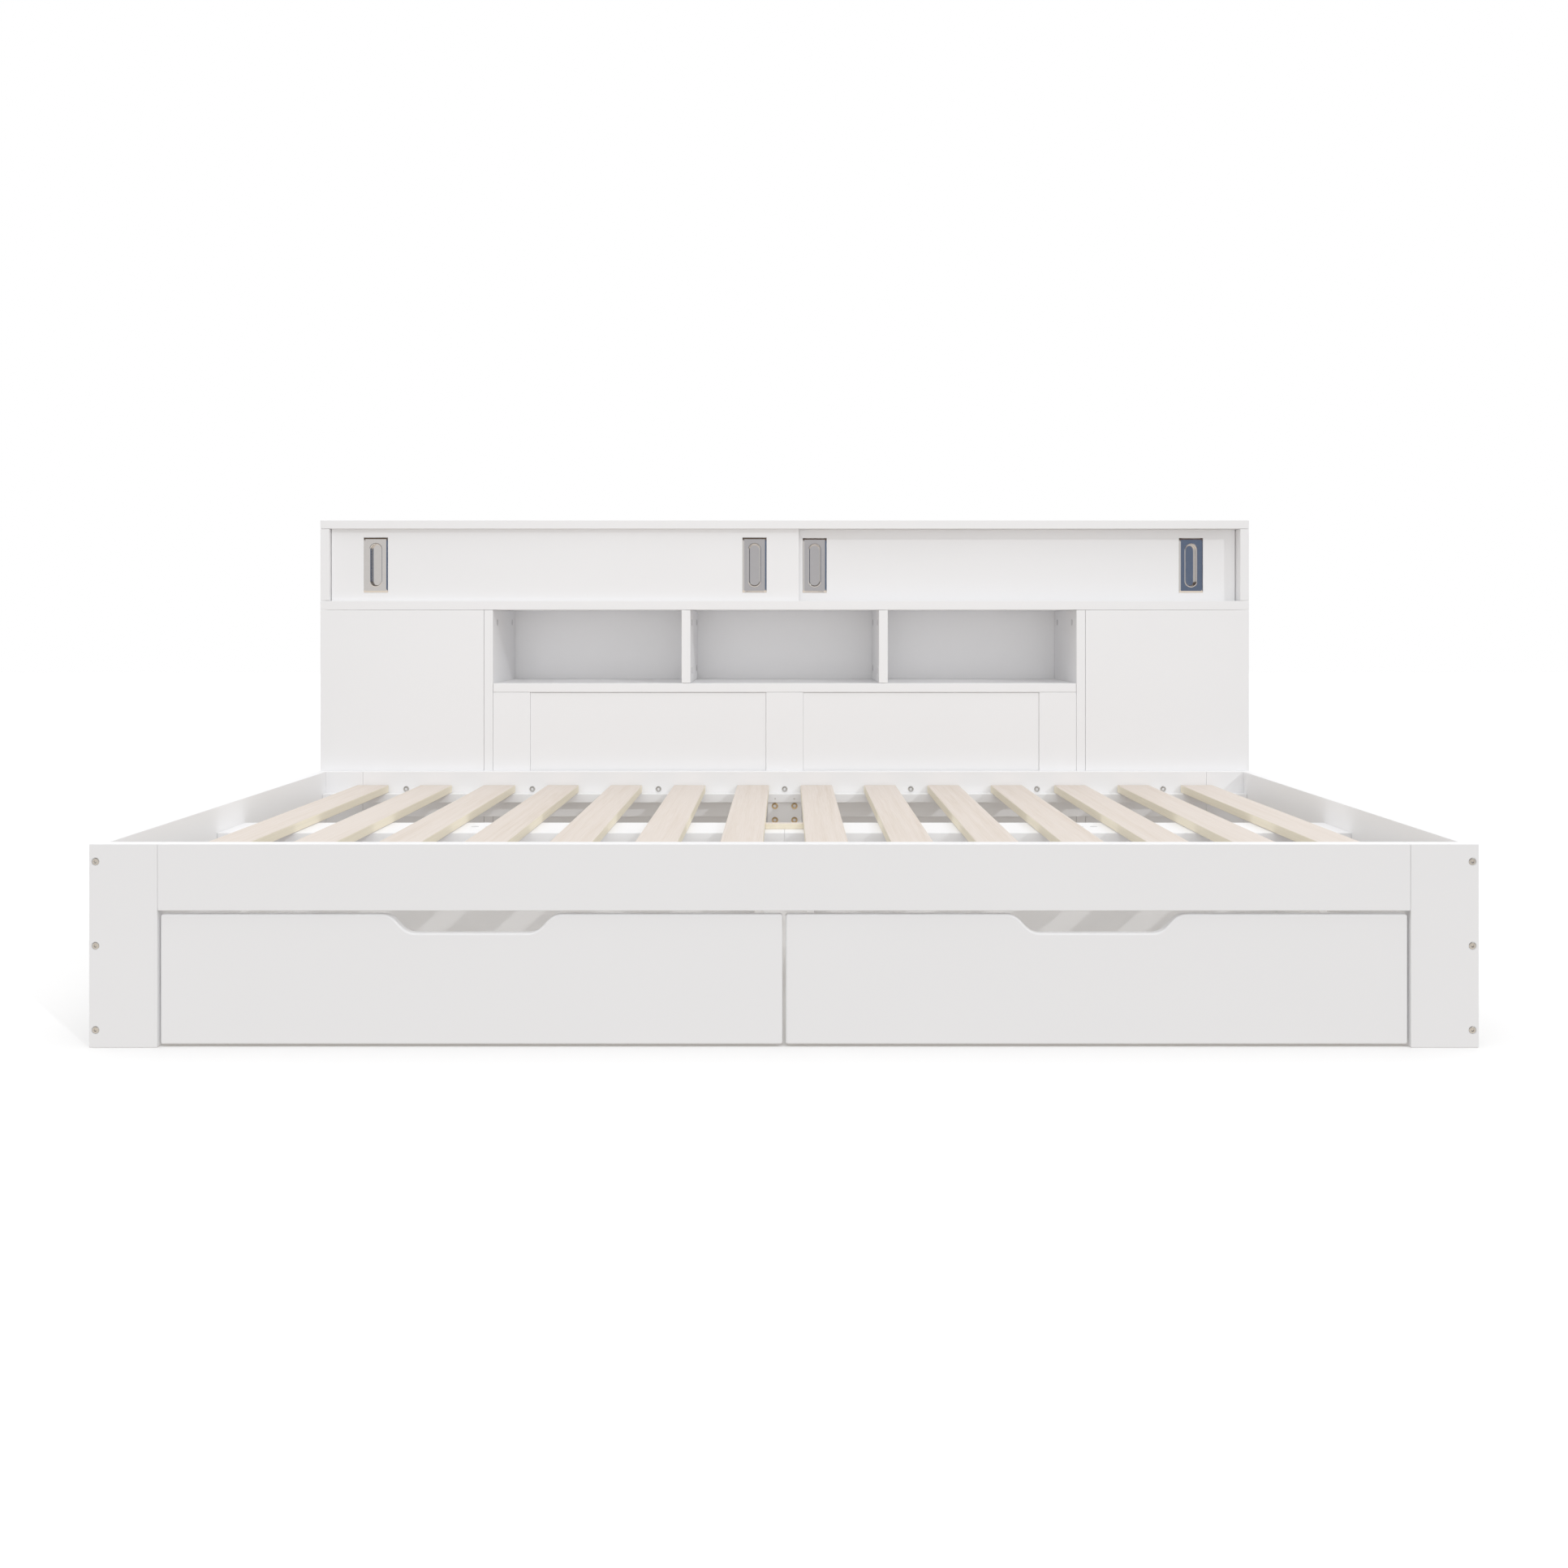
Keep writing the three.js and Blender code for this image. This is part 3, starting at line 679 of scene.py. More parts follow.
class BedFittings(bpy.types.PropertyGroup):
    """Sizes of the bolts, caps and drawer boards that the parts don't hold."""

    post_bolt: length("Post bolt", "Head diameter of the bolts in the front posts", 10.6 * MM)
    rail_bolt: length("Rail bolt", "Head diameter of the bolts in the rear rail", 12.5 * MM)
    leg_bolt: length("Leg bolt", "Head diameter of the bolts in the rear leg", 13.8 * MM)
    cap: length("Cover cap", "Diameter of the plastic cover caps", 14 * MM)
    bolt_inset: length("Bolt inset", "Post bolts in from the bed's end", 9 * MM)
    bolt_end: length("Bolt end", "Outer post bolts in from the post's ends", 25 * MM)
    rail_bolt_gap: length("Rail bolt spacing", "Between the bolts in the rear rail", 267 * MM)
    slot_width: length("Slot width", "Opening of a flush pull, across", 22.6 * MM)
    slot_height: length("Slot height", "Opening of a flush pull, upright", 89.4 * MM)
    notch_width: length("Notch width", "Finger notch, across its lips", 258 * MM)
    notch_flat: length("Notch flat", "Level floor of the finger notch", 160 * MM)
    notch_depth: length("Notch depth", "Depth of the finger notch", 27 * MM)
    stile: length("Stile", "Width of the stiles under the cubbies", 79 * MM)
    field_recess: length("Field recess", "Panel fields behind their stiles", 3 * MM)
    wheel_room: length("Wheel room", "Castor wheel to the fork's crown", 3.8 * MM)
    box_board: length("Drawer board", "Thickness of the drawer box's boards", 12 * MM)
    box_bottom: length("Drawer bottom", "Thickness of the drawer box's bottom", 5 * MM)
    bottom_lift: length("Bottom lift", "Drawer bottom above the lower edge of the sides", 6 * MM)
    spokes: IntProperty(name="Spokes", description="Ribs on a castor wheel", default=6, min=3)


class BedStage(bpy.types.PropertyGroup):
    """Camera, light and floor."""

    eye_height: length("Eye height", "Camera above the floor", 0.6056)
    eye_distance: length("Eye distance", "Camera in front of the bed", 2.120)
    eye_offset: length("Eye offset", "Camera to the right of the bed's middle", 0.0029)
    lens: FloatProperty(name="Lens", description="Focal length, mm on a 36 mm frame", default=34.17)
    rise: FloatProperty(name="Rise", description="Vertical lens shift", default=-0.1030)
    slide: FloatProperty(name="Slide", description="Sideways lens shift", default=-0.0013)
    sun: FloatProperty(name="Key", description="Strength of the key light", default=0.54)
    overhead: FloatProperty(name="Overhead", description="Light from straight above", default=1.8)
    horizon: FloatProperty(name="Horizon", description="Light from the horizon", default=0.15)
    sides: FloatProperty(name="Sides", description="Light from left and right", default=0.35)
    frontal: FloatProperty(name="Front", description="Light from behind the camera", default=2.8)
    rear: FloatProperty(name="Rear", description="Light from behind the bed", default=1.8)
    below: FloatProperty(name="Below", description="Light thrown back by the floor", default=0.2)
    tone: FloatProperty(name="Tone", description="Above 1 lifts the shades", default=1.5)
    boards: colour("Floorboards", "Tint of the light thrown back by the floor", "#F6E6D2")
    pale: colour("Pale wall", "What metal mirrors of the room's left", "#D3D0CE")
    middle: colour("Middle wall", "What metal mirrors of the room behind the camera", "#ABAAAE")
    shady: colour("Shady wall", "What metal mirrors of the room's right", "#42516C")
    ceiling: colour("Ceiling", "What metal mirrors of the room's ceiling", "#3C2E25")
    floor: colour("Floor", "Studio floor", "#FDFDFD")


# ---- operators ------------------------------------------------------------------------------


class MakesPieces:
    """Common ground of the operators."""

    bl_options = {"REGISTER", "UNDO"}


class BED_OT_finishes(MakesPieces, bpy.types.Operator):
    """Mixes the bed's lacquers, wood, metals and plastics"""

    bl_idname = "bed.finishes"
    bl_label = "Finishes"

    def execute(self, context):
        scene = context.scene
        mix = scene.bed_finishes
        satin = mix.lacquer_roughness
        sprayed_lacquer(LACQUER, mix.lacquer, satin)
        sprayed_lacquer("sprayed_drawer_lacquer", mix.box, satin + 0.08)
        planed_slat_wood("planed_softwood", mix.slat, mix.grain, mix.edge)
        plated_metal("polished_nickel_plate", mix.nickel, 0.10, 0.5 * MM)
        plated_metal("bright_zinc_plate", mix.zinc, 0.30, 0.3 * MM)
        plated_metal("yellow_zinc_plate", mix.brass, 0.32, 0.3 * MM)
        moulded_plastic("moulded_white_cap", mix.cap, 0.38)
        moulded_plastic("moulded_nylon", mix.castor, 0.45)
        return {"FINISHED"}


class BED_OT_frame_boards(MakesPieces, bpy.types.Operator):
    """Posts, rails, side boards and ledgers"""

    bl_idname = "bed.frame_boards"
    bl_label = "Frame boards"

    def execute(self, context):
        scene = context.scene
        ease = scene.bed_edges.carcass
        nodes = ["front_rail", "rear_rail", "front_ledger", "rear_ledger"]
        nodes += [f"rear_{side}_post" for side, _ in SIDES]
        nodes += [f"{side}_side_board" for side, _ in SIDES]
        for node in nodes:
            board_for(node, ease)
        for side, sign in SIDES:
            self.bolted_post(f"front_{side}_post", sign, ease, scene.bed_fittings)
        return {"FINISHED"}

    def bolted_post(self, node, sign, ease, fittings):
        """A front post with a counterbore for each bolt, and the bolts' heads just inside them."""
        low, high = box_of(node)
        outer = sign * (max(abs(low[0]), abs(high[0])) - fittings.bolt_inset)
        heights = (fittings.bolt_end, (low[2] + high[2]) / 2, high[2] - fittings.bolt_end)
        bore, bore_depth = fittings.post_bolt + 1 * MM, 2 * MM
        head_rise, head_seat = 1.2 * MM, low[1] + 1.5 * MM
        pockets = [(circle(bore, (height, -outer)), bore_depth) for height in heights]
        corners = (low[2], -high[0], -high[1]), (high[2], -low[0], -low[1])
        shell = plate(*corners, ease, "front_along_z", pockets)
        make_piece(f"{node}_board", [shell], LACQUER, BED, [node])
        head = bolt(fittings.post_bolt, head_rise)
        spots = [(outer, head_seat, height) for height in heights]
        make_copies(f"{node}_bolts", head, "front", spots, "bright_zinc_plate")


class BED_OT_slats(MakesPieces, bpy.types.Operator):
    """The slats that carry the mattress"""

    bl_idname = "bed.slats"
    bl_label = "Slats"

    def execute(self, context):
        scene = context.scene
        for node in sorted(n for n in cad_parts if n.startswith("slat_")):
            board_for(node, scene.bed_edges.slat, "planed_softwood")
        return {"FINISHED"}


class BED_OT_slat_beam(MakesPieces, bpy.types.Operator):
    """The two-piece beam under the slats, its joint block and its legs"""

    bl_idname = "bed.slat_beam"
    bl_label = "Slat beam"

    def execute(self, context):
        scene = context.scene
        ease = scene.bed_edges.carcass
        for side, _ in SIDES:
            board_for(f"{side}_beam", ease)
            board_for(f"{side}_beam_leg", ease)
        board_for("rear_centre_leg", ease)
        self.joint_block()
        return {"FINISHED"}

    def joint_block(self):
        """The block between the two middle slats that keeps the beam's halves in line."""
        play, half_width, height, ease = 0.4 * MM, 7.5 * MM, 10 * MM, 0.8 * MM
        offset = -14 * MM      # from the beam's middle line
        _, left_high = box_of("slat_07")
        right_low, _ = box_of("slat_08")
        beam_low, beam_high = box_of("left_beam")
        middle = (beam_low[1] + beam_high[1]) / 2 + offset
        low = np.array((left_high[0] + play, middle - half_width, beam_high[2]))
        high = np.array((right_low[0] - play, middle + half_width, beam_high[2] + height))
        make_piece("beam_joint_block", [board(low, high, ease)], "planed_softwood", BED)


class BED_OT_headboard(MakesPieces, bpy.types.Operator):
    """Carcass of the storage headboard, with grooves for the sliding doors"""

    bl_idname = "bed.headboard"
    bl_label = "Headboard"

    def execute(self, context):
        scene = context.scene
        edges = scene.bed_edges
        ease = edges.carcass
        nodes = ["back_panel", "cubby_shelf"]
        parts = ("cabinet_end", "upright", "divider", "front_panel")
        for side, _ in SIDES:
            nodes += [f"{side}_{part}" for part in parts]
        back_front = box_of("back_panel")[0][1]
        shelf_end = back_front - edges.gap
        for node in nodes:
            low, high = box_of(node)
            if shelf_end < high[1] < back_front:
                high[1] = shelf_end
            shell = board(low + edges.seam, high - edges.seam, ease)
            make_piece(f"{node}_board", [shell], LACQUER, BED, [node])
        door_low, door_high = box_of("left_door")
        top_end = box_of("headboard_top")[1][1]
        room_above, room_below = 2 * MM, 0.5 * MM
        self.grooved("headboard_top", "down", door_high[2] + room_above, ease, top_end)
        self.grooved("middle_shelf", "up_along_y", door_low[2] - room_below, ease, shelf_end)
        self.lower_panel(scene.bed_fittings, ease)
        return {"FINISHED"}

    def grooved(self, node, facing, groove_end, ease, rear):
        """A board that ends at rear, with a groove for each door up or down to groove_end."""
        low, high = box_of(node)
        high[1] = rear
        end = box_of("right_cabinet_end")[0][0]
        play, corner = 0.5 * MM, 1 * MM
        if facing == "down":
            bottom, top, depth = -high[2], -low[2], groove_end - low[2]
        else:
            bottom, top, depth = low[2], high[2], high[2] - groove_end
        pockets = []
        for side, _ in SIDES:
            door_low, door_high = box_of(f"{side}_door")
            track = rectangle((door_low[1] - play, -end), (door_high[1] + play, end))
            pockets.append((rounded_outline(track, corner)[0], depth))
        corners = (low[1], low[0], bottom), (high[1], high[0], top)
        shell = plate(*corners, ease, facing, pockets)
        make_piece(f"{node}_board", [shell], LACQUER, BED, [node])

    def lower_panel(self, fittings, ease):
        """Three stiles with two set-back fields between them, under the cubbies."""
        low, high = box_of("lower_panel")
        seam = 0.3 * MM
        half = fittings.stile / 2
        left, right = low[0] + fittings.stile, high[0] - fittings.stile
        front = low[1] + fittings.field_recess
        field_top = high[2] - 2 * seam
        boards = (
            ("left_stile", low[0], left, low[1], high[2]),
            ("centre_stile", -half, half, low[1], high[2]),
            ("right_stile", right, high[0], low[1], high[2]),
            ("left_panel_field", left + seam, -half - seam, front, field_top),
            ("right_panel_field", half + seam, right - seam, front, field_top),
        )
        for name, start, end, face, top in boards:
            shell = board(np.array((start, face, low[2])), np.array((end, high[1], top)), ease)
            make_piece(name, [shell], LACQUER, BED, ["lower_panel"])


class BED_OT_sliding_doors(MakesPieces, bpy.types.Operator):
    """The two sliding doors, with a pocket behind each flush pull, and the pulls"""

    bl_idname = "bed.sliding_doors"
    bl_label = "Sliding doors"

    def execute(self, context):
        scene = context.scene
        ease = scene.bed_edges.door
        fittings = scene.bed_fittings
        slot = (fittings.slot_width, fittings.slot_height)
        cup_room = 3.4 * MM    # pocket wider than the slot, for the cup's sheet
        cup_gap = 0.5 * MM     # pocket deeper than the cup
        for side, _ in SIDES:
            low, high = box_of(f"{side}_door")
            pulls = sorted(
                ((*box_of(f"{side}_door_{place}_pull"), place) for place in ("inner", "outer")),
                key=lambda pull: pull[0][0],
            )
            pockets = []
            for pull_low, pull_high, place in pulls:
                middle = (pull_low + pull_high) / 2
                opening = (slot[0] + cup_room, slot[1] + cup_room)
                outline = slot_outline(*opening, middle[[0, 2]], ROUND_STEPS // 2)
                pockets.append((outline, pull_high[1] + cup_gap - low[1]))
                half = (pull_high - pull_low)[[0, 2]] / 2
                rings = flush_pull_rings(half, slot, low[1] - pull_low[1], pull_high[1] - low[1])
                shell = placed(capped(rings), "front", (middle[0], low[1], middle[2]))
                node = f"{side}_door_{place}_pull"
                make_piece(
                    f"{node}_plate", [shell], "polished_nickel_plate", f"{side}_door", [node],
                )
            corners = (low[0], low[2], -high[1]), (high[0], high[2], -low[1])
            shell = plate(*corners, ease, "front", pockets)
            make_piece(f"{side}_door_panel", [shell], LACQUER, f"{side}_door", [f"{side}_door"])
        return {"FINISHED"}


class BED_OT_drawers(MakesPieces, bpy.types.Operator):
    """Drawer fronts with their finger notches, and the drawer boxes"""

    bl_idname = "bed.drawers"
    bl_label = "Drawers"

    def execute(self, context):
        scene = context.scene
        edges = scene.bed_edges
        fittings = scene.bed_fittings
        for side, _ in SIDES:
            node = f"{side}_drawer_front"
            low, high = box_of(node)
            outline, normals = notched_outline(
                low[[0, 2]], high[[0, 2]], 1.25 * edges.drawer,
                fittings.notch_width, fittings.notch_flat, fittings.notch_depth,
            )
            rings = eased_rings(outline, normals, -high[1], -low[1], edges.drawer, 5)
            shell = placed(capped(rings), "front")
            make_piece(f"{node}_panel", [shell], LACQUER, f"{side}_drawer", [node])
            self.box_boards(side, edges.box, fittings)
        return {"FINISHED"}

    def box_boards(self, side, ease, fittings):
        """Two sides, a back between them and a raised bottom."""
        node = f"{side}_drawer_box"
        low, high = box_of(node)
        low[2] = box_of(f"{side}_drawer_rear_inner_wheel")[1][2] + fittings.wheel_room
        thick = fittings.box_board
        bottom = low[2] + fittings.bottom_lift
        inside = high[1] - thick
        seam = 0.2 * MM
        boards = {
            "left_side": ((low[0], low[1], low[2]), (low[0] + thick, high[1], high[2])),
            "right_side": ((high[0] - thick, low[1], low[2]), (high[0], high[1], high[2])),
            "back": (
                (low[0] + thick + seam, inside, low[2]), (high[0] - thick - seam, high[1], high[2]),
            ),
            "bottom": (
                (low[0] + thick + seam, low[1], bottom),
                (high[0] - thick - seam, inside - seam, bottom + fittings.box_bottom),
            ),
        }
        for name, corners in boards.items():
            shell = board(*(np.array(corner) for corner in corners), ease)
            piece = f"{node}_{name}"
            make_piece(piece, [shell], "sprayed_drawer_lacquer", f"{side}_drawer", [node])


class BED_OT_castors(MakesPieces, bpy.types.Operator):
    """Fixed castors under the drawers: pressed forks, rivets and ribbed wheels"""

    bl_idname = "bed.castors"
    bl_label = "Castors"

    def execute(self, context):
        scene = context.scene
        fittings = scene.bed_fittings
        for side, _ in SIDES:
            for row in ("front", "rear"):
                for column in ("inner", "outer"):
                    node = f"{side}_drawer_{row}_{column}_wheel"
                    low, high = box_of(node)
                    centre = (low + high) / 2
                    make_piece(
                        f"{node}_tyre", self.wheel(centre, high - low, fittings.spokes),
                        "moulded_nylon", node, [node],
                    )
                    make_piece(
                        f"{node}_fork", self.fork(centre, high - low, fittings),
                        "bright_zinc_plate", f"{side}_drawer", [f"{side}_drawer_box"],
                    )
        return {"FINISHED"}

    def wheel(self, centre, size, spokes):
        """A tread, a web and a hub turned in one, with radial ribs on both faces."""
        radius, half = size[2] / 2, size[0] / 2
        bore, hub, rim, web = 3.2 * MM, 5.5 * MM, 0.76 * radius, 0.5 * half
        small, tread = 0.4 * MM, 1.6 * MM      # roundings
        half_rib, rib_ease, overlap, set_back = 0.6 * MM, 0.25 * MM, 0.3 * MM, 1.2 * MM
        profile = np.array((
            (bore, -half), (hub, -half), (hub, -web), (rim, -web), (rim, -half), (radius, -half),
            (radius, half), (rim, half), (rim, web), (hub, web), (hub, half), (bore, half),
        ))
        rounding = np.full(len(profile), small)
        rounding[5:7] = tread
        outline, _ = rounded_outline(profile, rounding)
        rings = turned([(r, w, 0) for r, w in outline], 2 * ROUND_STEPS)
        shells = [placed(looped(rings), "right", centre)]
        for sign in (-1, 1):
            ends = sorted((sign * (web - overlap), sign * (half - set_back)))
            rib = board(
                centre + np.array((ends[0], -half_rib, hub - overlap)),
                centre + np.array((ends[1], half_rib, rim + overlap)), rib_ease,
            )
            shells += [spun(rib, 2 * np.pi * i / spokes, centre) for i in range(spokes)]
        return shells

    def fork(self, centre, size, fittings):
        """A crown and two tapering cheeks of pressed steel, and the rivet that is the axle."""
        half, sheet, gap = size[0] / 2, 2.2 * MM, 0.9 * MM
        crown = size[2] / 2 + fittings.wheel_room
        top = crown + fittings.bottom_lift
        reach = half + gap + sheet
        wide, foot = 12 * MM, 6 * MM
        waist, shoulder = 0.7 * crown, top - 0.2 * MM
        crown_ease, cheek_ease = 0.6 * MM, 0.4 * MM
        shells = [board(
            centre + np.array((-reach, -wide, crown)), centre + np.array((reach, wide, top)),
            crown_ease,
        )]
        cheek = np.array((
            (-foot, -foot), (foot, -foot), (wide, waist),
            (wide, shoulder), (-wide, shoulder), (-wide, waist),
        ))
        rounding = np.array((4.5, 4.5, 3, 1, 1, 3)) * MM
        outline, normals = rounded_outline(cheek, rounding)
        for sign in (-1, 1):
            ends = sorted((sign * (half + gap), sign * reach))
            rings = eased_rings(outline, normals, ends[0], ends[1], cheek_ease)
            shells.append(placed(capped(rings), "right", centre))
        dome, flat, rise, axle = 3.4 * MM, 0.6 * MM, 1.2 * MM, 3 * MM
        arc = np.linspace(0, np.pi / 2, 4)
        right = [(dome * np.cos(a) + flat, reach + rise * np.sin(a), 0) for a in arc]
        left = [(radius, -height, 0) for radius, height, _ in right[::-1]]
        stem = [(axle, -reach, 0), (axle, reach, 0)]
        shells.append(placed(capped(turned(left + stem + right, ROUND_STEPS)), "right", centre))
        return shells


class BED_OT_fasteners(MakesPieces, bpy.types.Operator):
    """Bolts of the rear rail and leg, ledger screws and plastic cover caps"""

    bl_idname = "bed.fasteners"
    bl_label = "Fasteners"

    def execute(self, context):
        scene = context.scene
        fittings = scene.bed_fittings
        self.rail_bolts(fittings)
        self.leg_bolts(fittings)
        self.beam_caps(fittings)
        self.cubby_caps(fittings)
        return {"FINISHED"}

    def rail_bolts(self, fittings):
        """A row of bolts that hold the headboard to the rear rail."""
        low, high = box_of("rear_rail")
        below_top, rise, each_side = 37 * MM, 1.6 * MM, 3
        steps = np.arange(-each_side, each_side + 1)
        spots = [(i * fittings.rail_bolt_gap, low[1], high[2] - below_top) for i in steps]
        head = bolt(fittings.rail_bolt, rise)
        make_copies("rear_rail_bolts", head, "front", spots, "bright_zinc_plate")

    def leg_bolts(self, fittings):
        """Four bolts in the rear leg, and two screws in the ledger above it."""
        low, high = box_of("rear_centre_leg")
        aside, rise, below_top = 20.5 * MM, 2.2 * MM, (7.4 * MM, 37 * MM)
        head = bolt(fittings.leg_bolt, rise)
        spots = [(x, low[1], high[2] - drop) for x in (-aside, aside) for drop in below_top]
        make_copies("rear_leg_bolts", head, "front", spots, "yellow_zinc_plate")
        ledger_low, ledger_high = box_of("rear_ledger")
        screw_size, screw_rise, screw_aside, drop = 3.6 * MM, 0.3 * MM, 20 * MM, 1 * MM
        screw = bolt(screw_size, screw_rise)
        height = (ledger_low[2] + ledger_high[2]) / 2 - drop
        spots = [(x, ledger_low[1], height) for x in (-screw_aside, screw_aside)]
        make_copies("ledger_screws", screw, "front", spots, "bright_zinc_plate")

    def beam_caps(self, fittings):
        """Caps over the screws that hold the beam to its legs."""
        share, rise, aside = 0.96, 0.35 * MM, 12.5 * MM
        cap = cover_cap(share * fittings.cap, rise)
        _, beam_high = box_of("left_beam")
        for side, _ in SIDES:
            low, high = box_of(f"{side}_beam_leg")
            middle = (low + high) / 2
            spots = [(middle[0] + x, middle[1], beam_high[2]) for x in (-aside, aside)]
            make_copies(f"{side}_beam_caps", cap, "up", spots, "moulded_white_cap")

    def cubby_caps(self, fittings):
        """Caps over the cam locks in the walls of the cubbies."""
        rise, depths = 0.8 * MM, (50 * MM, 224 * MM)
        below_shelf, above_shelf = 27 * MM, 26 * MM
        cap = cover_cap(fittings.cap, rise)
        _, shelf_high = box_of("cubby_shelf")
        underside, _ = box_of("middle_shelf")
        upper, lower = underside[2] - below_shelf, shelf_high[2] + above_shelf
        for side, sign in SIDES:
            for part, heights in (("upright", (upper,)), ("divider", (lower, upper))):
                low, high = box_of(f"{side}_{part}")
                wall = high[0] if sign < 0 else low[0]
                facing = "right" if sign < 0 else "left"
                spots = [(wall, low[1] + depth, height) for depth in depths for height in heights]
                make_copies(f"{side}_{part}_caps", cap, facing, spots, "moulded_white_cap")


class BED_OT_stage(MakesPieces, bpy.types.Operator):
    """Camera, studio light and floor"""

    bl_idname = "bed.stage"
    bl_label = "Stage"

    def execute(self, context):
        scene = context.scene
        self.camera(scene, scene.bed_stage)
        self.light(scene, scene.bed_stage)
        self.floor(scene, scene.bed_stage)
        return {"FINISHED"}

    def camera(self, scene, stage):
        """Level camera that looks along +Y, with its frame shifted down to hold the bed."""
        data = bpy.data.cameras.new("camera")
        data.lens = stage.lens
        data.sensor_width = 36
        data.shift_x = stage.slide
        data.shift_y = stage.rise
        camera = bpy.data.objects.new("camera", data)
        camera.location = (stage.eye_offset, cad_box[0][1] - stage.eye_distance, stage.eye_height)
        camera.rotation_euler = (np.pi / 2, 0, 0)
        scene.collection.objects.link(camera)
        scene.camera = camera

    def light(self, scene, stage):
        """A key from the upper front right in a room with soft light from all round."""
        scene.view_settings.view_transform = "Standard"
        scene.view_settings.gamma = stage.tone
        data = bpy.data.lights.new("key", "SUN")
        data.energy = stage.sun
        data.angle = KEY_ANGLE
        key = bpy.data.objects.new("key", data)
        key.rotation_mode = "QUATERNION"
        key.rotation_quaternion = Vector(KEY_DIRECTION).to_track_quat("-Z", "Y")
        scene.collection.objects.link(key)
        world = bpy.data.worlds.new("studio")
        scene.world = world
        world.use_nodes = True
        tree = world.node_tree
        tree.nodes.clear()
        direction = add_node(tree, "ShaderNodeTexCoord", {}).outputs["Generated"]
        axes = add_node(tree, "ShaderNodeSeparateXYZ", {0: direction}).outputs
        room = add_node(tree, "ShaderNodeBackground", {"Color": self.soft_light(tree, axes, stage)})
        walls = add_node(tree, "ShaderNodeBackground", {"Color": self.mirrored(tree, axes, stage)})
        backdrop = add_node(tree, "ShaderNodeBackground", {"Color": (1, 1, 1, 1)})
        rays = add_node(tree, "ShaderNodeLightPath", {}).outputs
        lit = add_node(tree, "ShaderNodeMixShader", {
            0: rays["Is Glossy Ray"], 1: room.outputs[0], 2: walls.outputs[0],
        })
        mixed = add_node(tree, "ShaderNodeMixShader", {
            0: rays["Is Camera Ray"], 1: lit.outputs[0], 2: backdrop.outputs[0],
        })
        add_node(tree, "ShaderNodeOutputWorld", {"Surface": mixed.outputs[0]})

    def soft_light(self, tree, axes, stage):
        """The room's light from a direction (x, y, z).

        It is horizon + (overhead - horizon) z^2 + sides x^2 above the horizon and the floor's
        tint beneath it, plus front y^20 or rear y^20, a soft patch behind the camera or the bed.
        """
        sums = dict(zip("xyz", axes))
        for name, operation, *terms in (
            ("aside", "MULTIPLY", "x", "x"),
            ("high", "MULTIPLY", "z", "z"),
            ("across", "MULTIPLY_ADD", "aside", stage.sides, stage.horizon),
            ("sky", "MULTIPLY_ADD", "high", stage.overhead - stage.horizon, "across"),
            ("beneath", "LESS_THAN", "z", 0.0),
            ("ahead", "GREATER_THAN", "y", 0.0),
            ("strength", "MULTIPLY_ADD", "ahead", stage.rear - stage.frontal, stage.frontal),
            ("depth", "ABSOLUTE", "y"),
            ("fade", "POWER", "depth", PATCH_POWER),
            ("patch", "MULTIPLY", "fade", "strength"),
        ):
            inputs = {i: sums.get(term, term) for i, term in enumerate(terms)}
            sums[name] = add_node(tree, "ShaderNodeMath", inputs, operation=operation).outputs[0]
        dome = add_node(tree, "ShaderNodeMix", {
            0: sums["beneath"], COLOUR_A: sums["sky"], COLOUR_B: shade(stage.boards, stage.below),
        }, data_type="RGBA")
        lit = add_node(tree, "ShaderNodeMix", {
            0: 1.0, COLOUR_A: dome.outputs[COLOUR_OUT], COLOUR_B: sums["patch"],
        }, data_type="RGBA", blend_type="ADD")
        return lit.outputs[COLOUR_OUT]

    def mirrored(self, tree, axes, stage):
        """What polished metal mirrors from a direction (x, y, z).

        The wall behind the camera goes from pale on the left through grey to a shady right, which
        ends as dim as the ceiling. It stands on floorboards. Behind the bed the room is white.
        """
        x, y, z = axes
        wall = shade(stage.pale)
        for axis, start, end, colour in (
            (x, -0.22, -0.05, stage.middle),
            (x, 0.06, 0.17, stage.shady),
            (x, 0.6, 0.8, stage.ceiling),
            (z, 0.07, 0.15, stage.ceiling),
            (z, -0.06, -0.14, stage.boards),
            (y, -0.2, 0.0, (1, 1, 1)),
        ):
            share = add_node(tree, "ShaderNodeMapRange", {
                "Value": axis, "From Min": start, "From Max": end,
            }, interpolation_type="SMOOTHSTEP")
            mix = add_node(tree, "ShaderNodeMix", {
                0: share.outputs[0], COLOUR_A: wall, COLOUR_B: shade(colour),
            }, data_type="RGBA")
            wall = mix.outputs[COLOUR_OUT]
        return wall

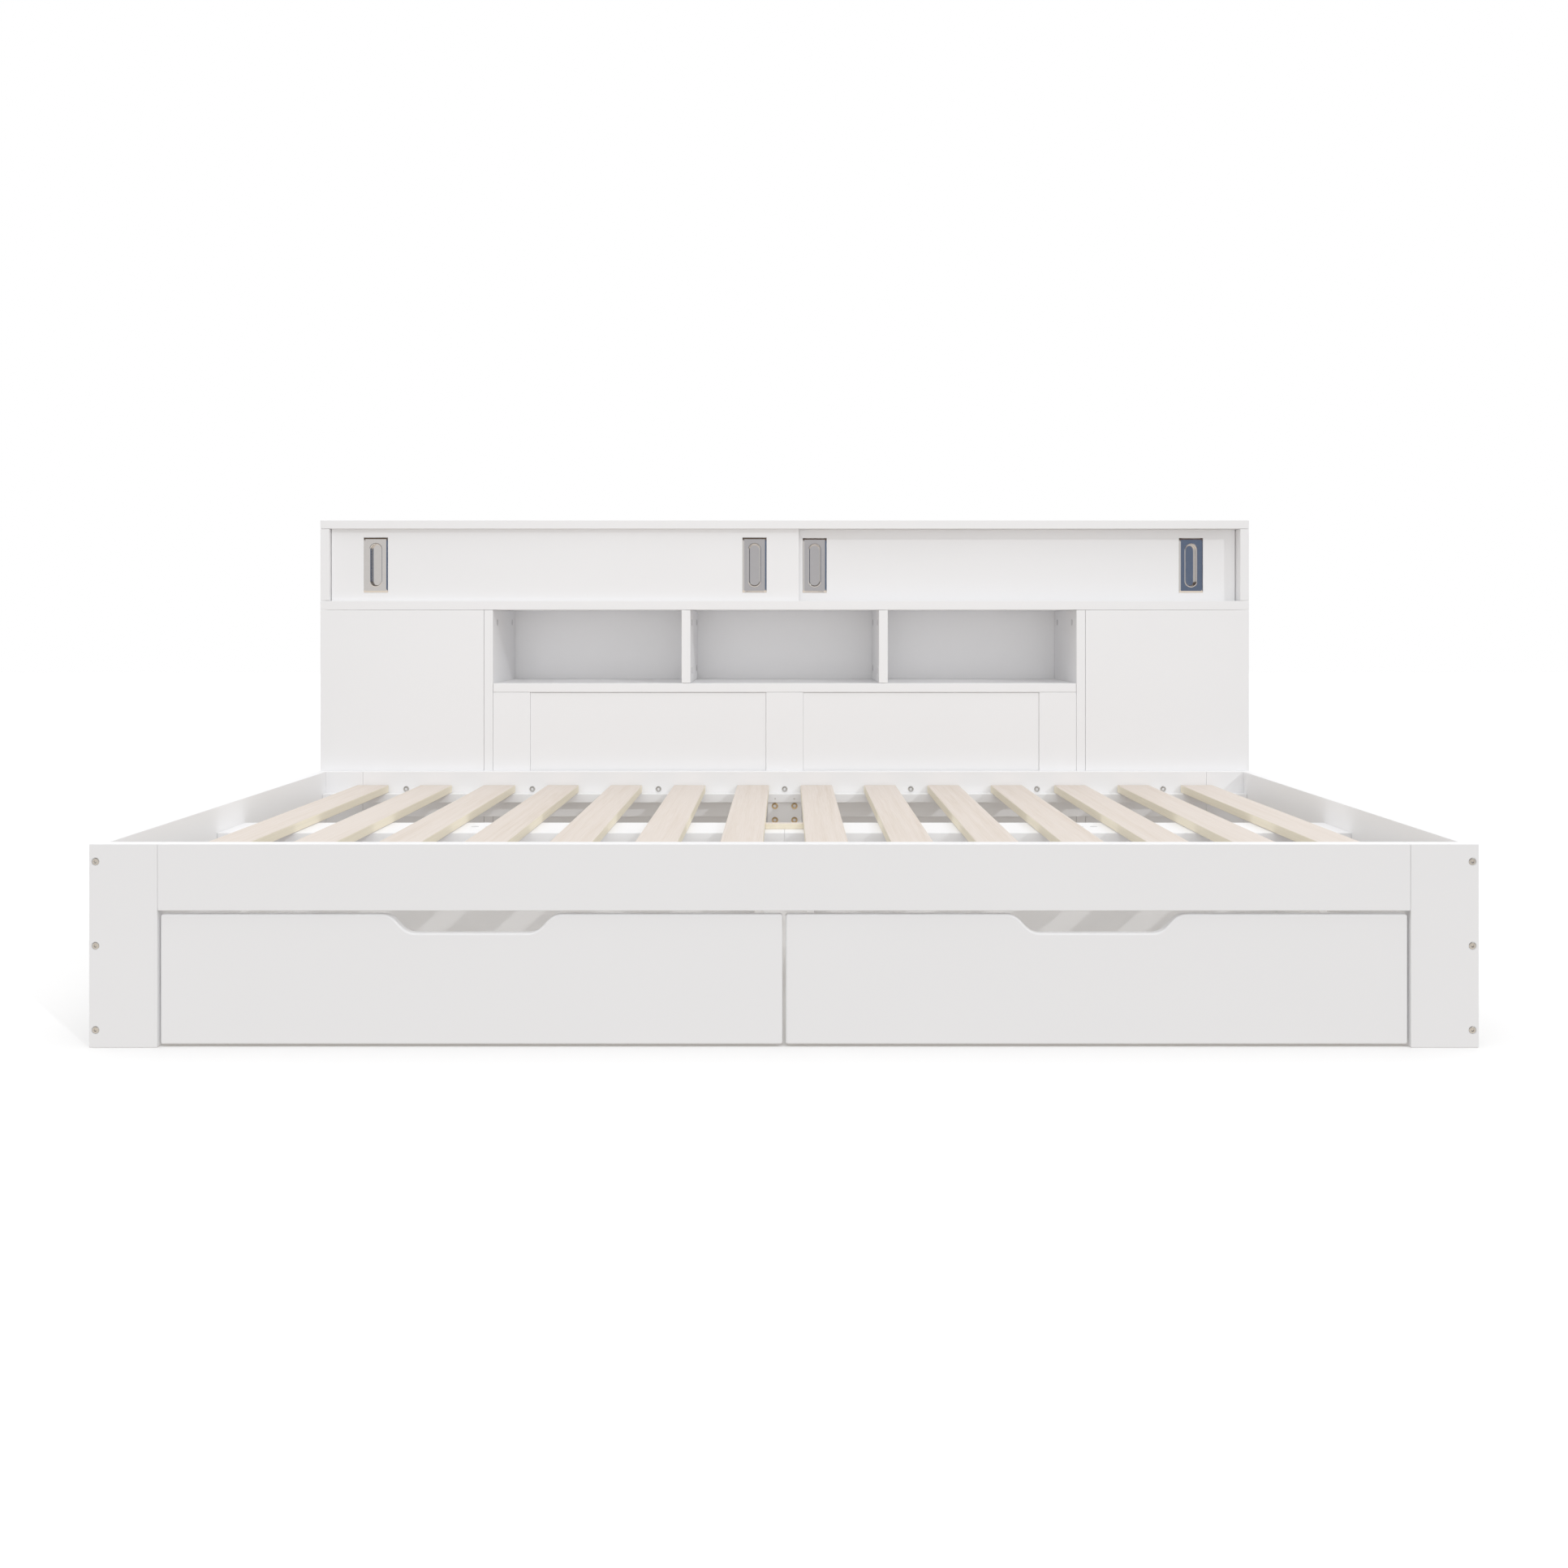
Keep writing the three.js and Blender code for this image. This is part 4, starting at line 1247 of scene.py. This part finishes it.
    def floor(self, scene, stage):
        """A level floor under the bed, too large for its edge to be noticed.

        The pieces take the light that it throws back from the room instead.
        """
        square = rectangle((-FLOOR_HALF, -FLOOR_HALF), (FLOOR_HALF, FLOOR_HALF))
        points = np.column_stack((square, np.full(len(square), -FLOOR_SINK)))
        mesh = bpy.data.meshes.new("floor")
        mesh.from_pydata(points, [], [range(len(points))])
        painted_floor("matt_floor_paint", stage.floor)
        mesh.materials.append(bpy.data.materials["matt_floor_paint"])
        floor = bpy.data.objects.new("floor", mesh)
        floor.visible_diffuse = False
        floor.visible_glossy = False
        scene.collection.objects.link(floor)


# ---- add-on ---------------------------------------------------------------------------------

SETTINGS = {
    "bed_edges": BedEdges,
    "bed_finishes": BedFinishes,
    "bed_fittings": BedFittings,
    "bed_stage": BedStage,
}
OPERATORS = (
    BED_OT_finishes, BED_OT_frame_boards, BED_OT_slats, BED_OT_slat_beam, BED_OT_headboard,
    BED_OT_sliding_doors, BED_OT_drawers, BED_OT_castors, BED_OT_fasteners, BED_OT_stage,
)


class BED_PT_panel(bpy.types.Panel):
    """Lists the bed's operators and settings"""

    bl_idname = "BED_PT_panel"
    bl_label = "Platform bed"
    bl_space_type = "VIEW_3D"
    bl_region_type = "UI"
    bl_category = "Bed"

    def draw(self, context):
        column = self.layout.column(align=True)
        for operator in OPERATORS:
            column.operator(operator.bl_idname)
        for name, group in SETTINGS.items():
            box = self.layout.box()
            box.label(text=group.__doc__.split(".")[0])
            settings = getattr(context.scene, name)
            for prop in group.__annotations__:
                box.prop(settings, prop)


def register():
    for group in SETTINGS.values():
        bpy.utils.register_class(group)
    for cls in (*OPERATORS, BED_PT_panel):
        bpy.utils.register_class(cls)
    for name, group in SETTINGS.items():
        setattr(bpy.types.Scene, name, PointerProperty(type=group))


def unregister():
    for name in SETTINGS:
        delattr(bpy.types.Scene, name)
    for cls in (BED_PT_panel, *reversed(OPERATORS), *SETTINGS.values()):
        bpy.utils.unregister_class(cls)


def main():
    """Builds the whole bed."""
    register()
    for operator in OPERATORS:
        family, name = operator.bl_idname.split(".")
        getattr(getattr(bpy.ops, family), name)()


if __name__ == "__main__":
    main()
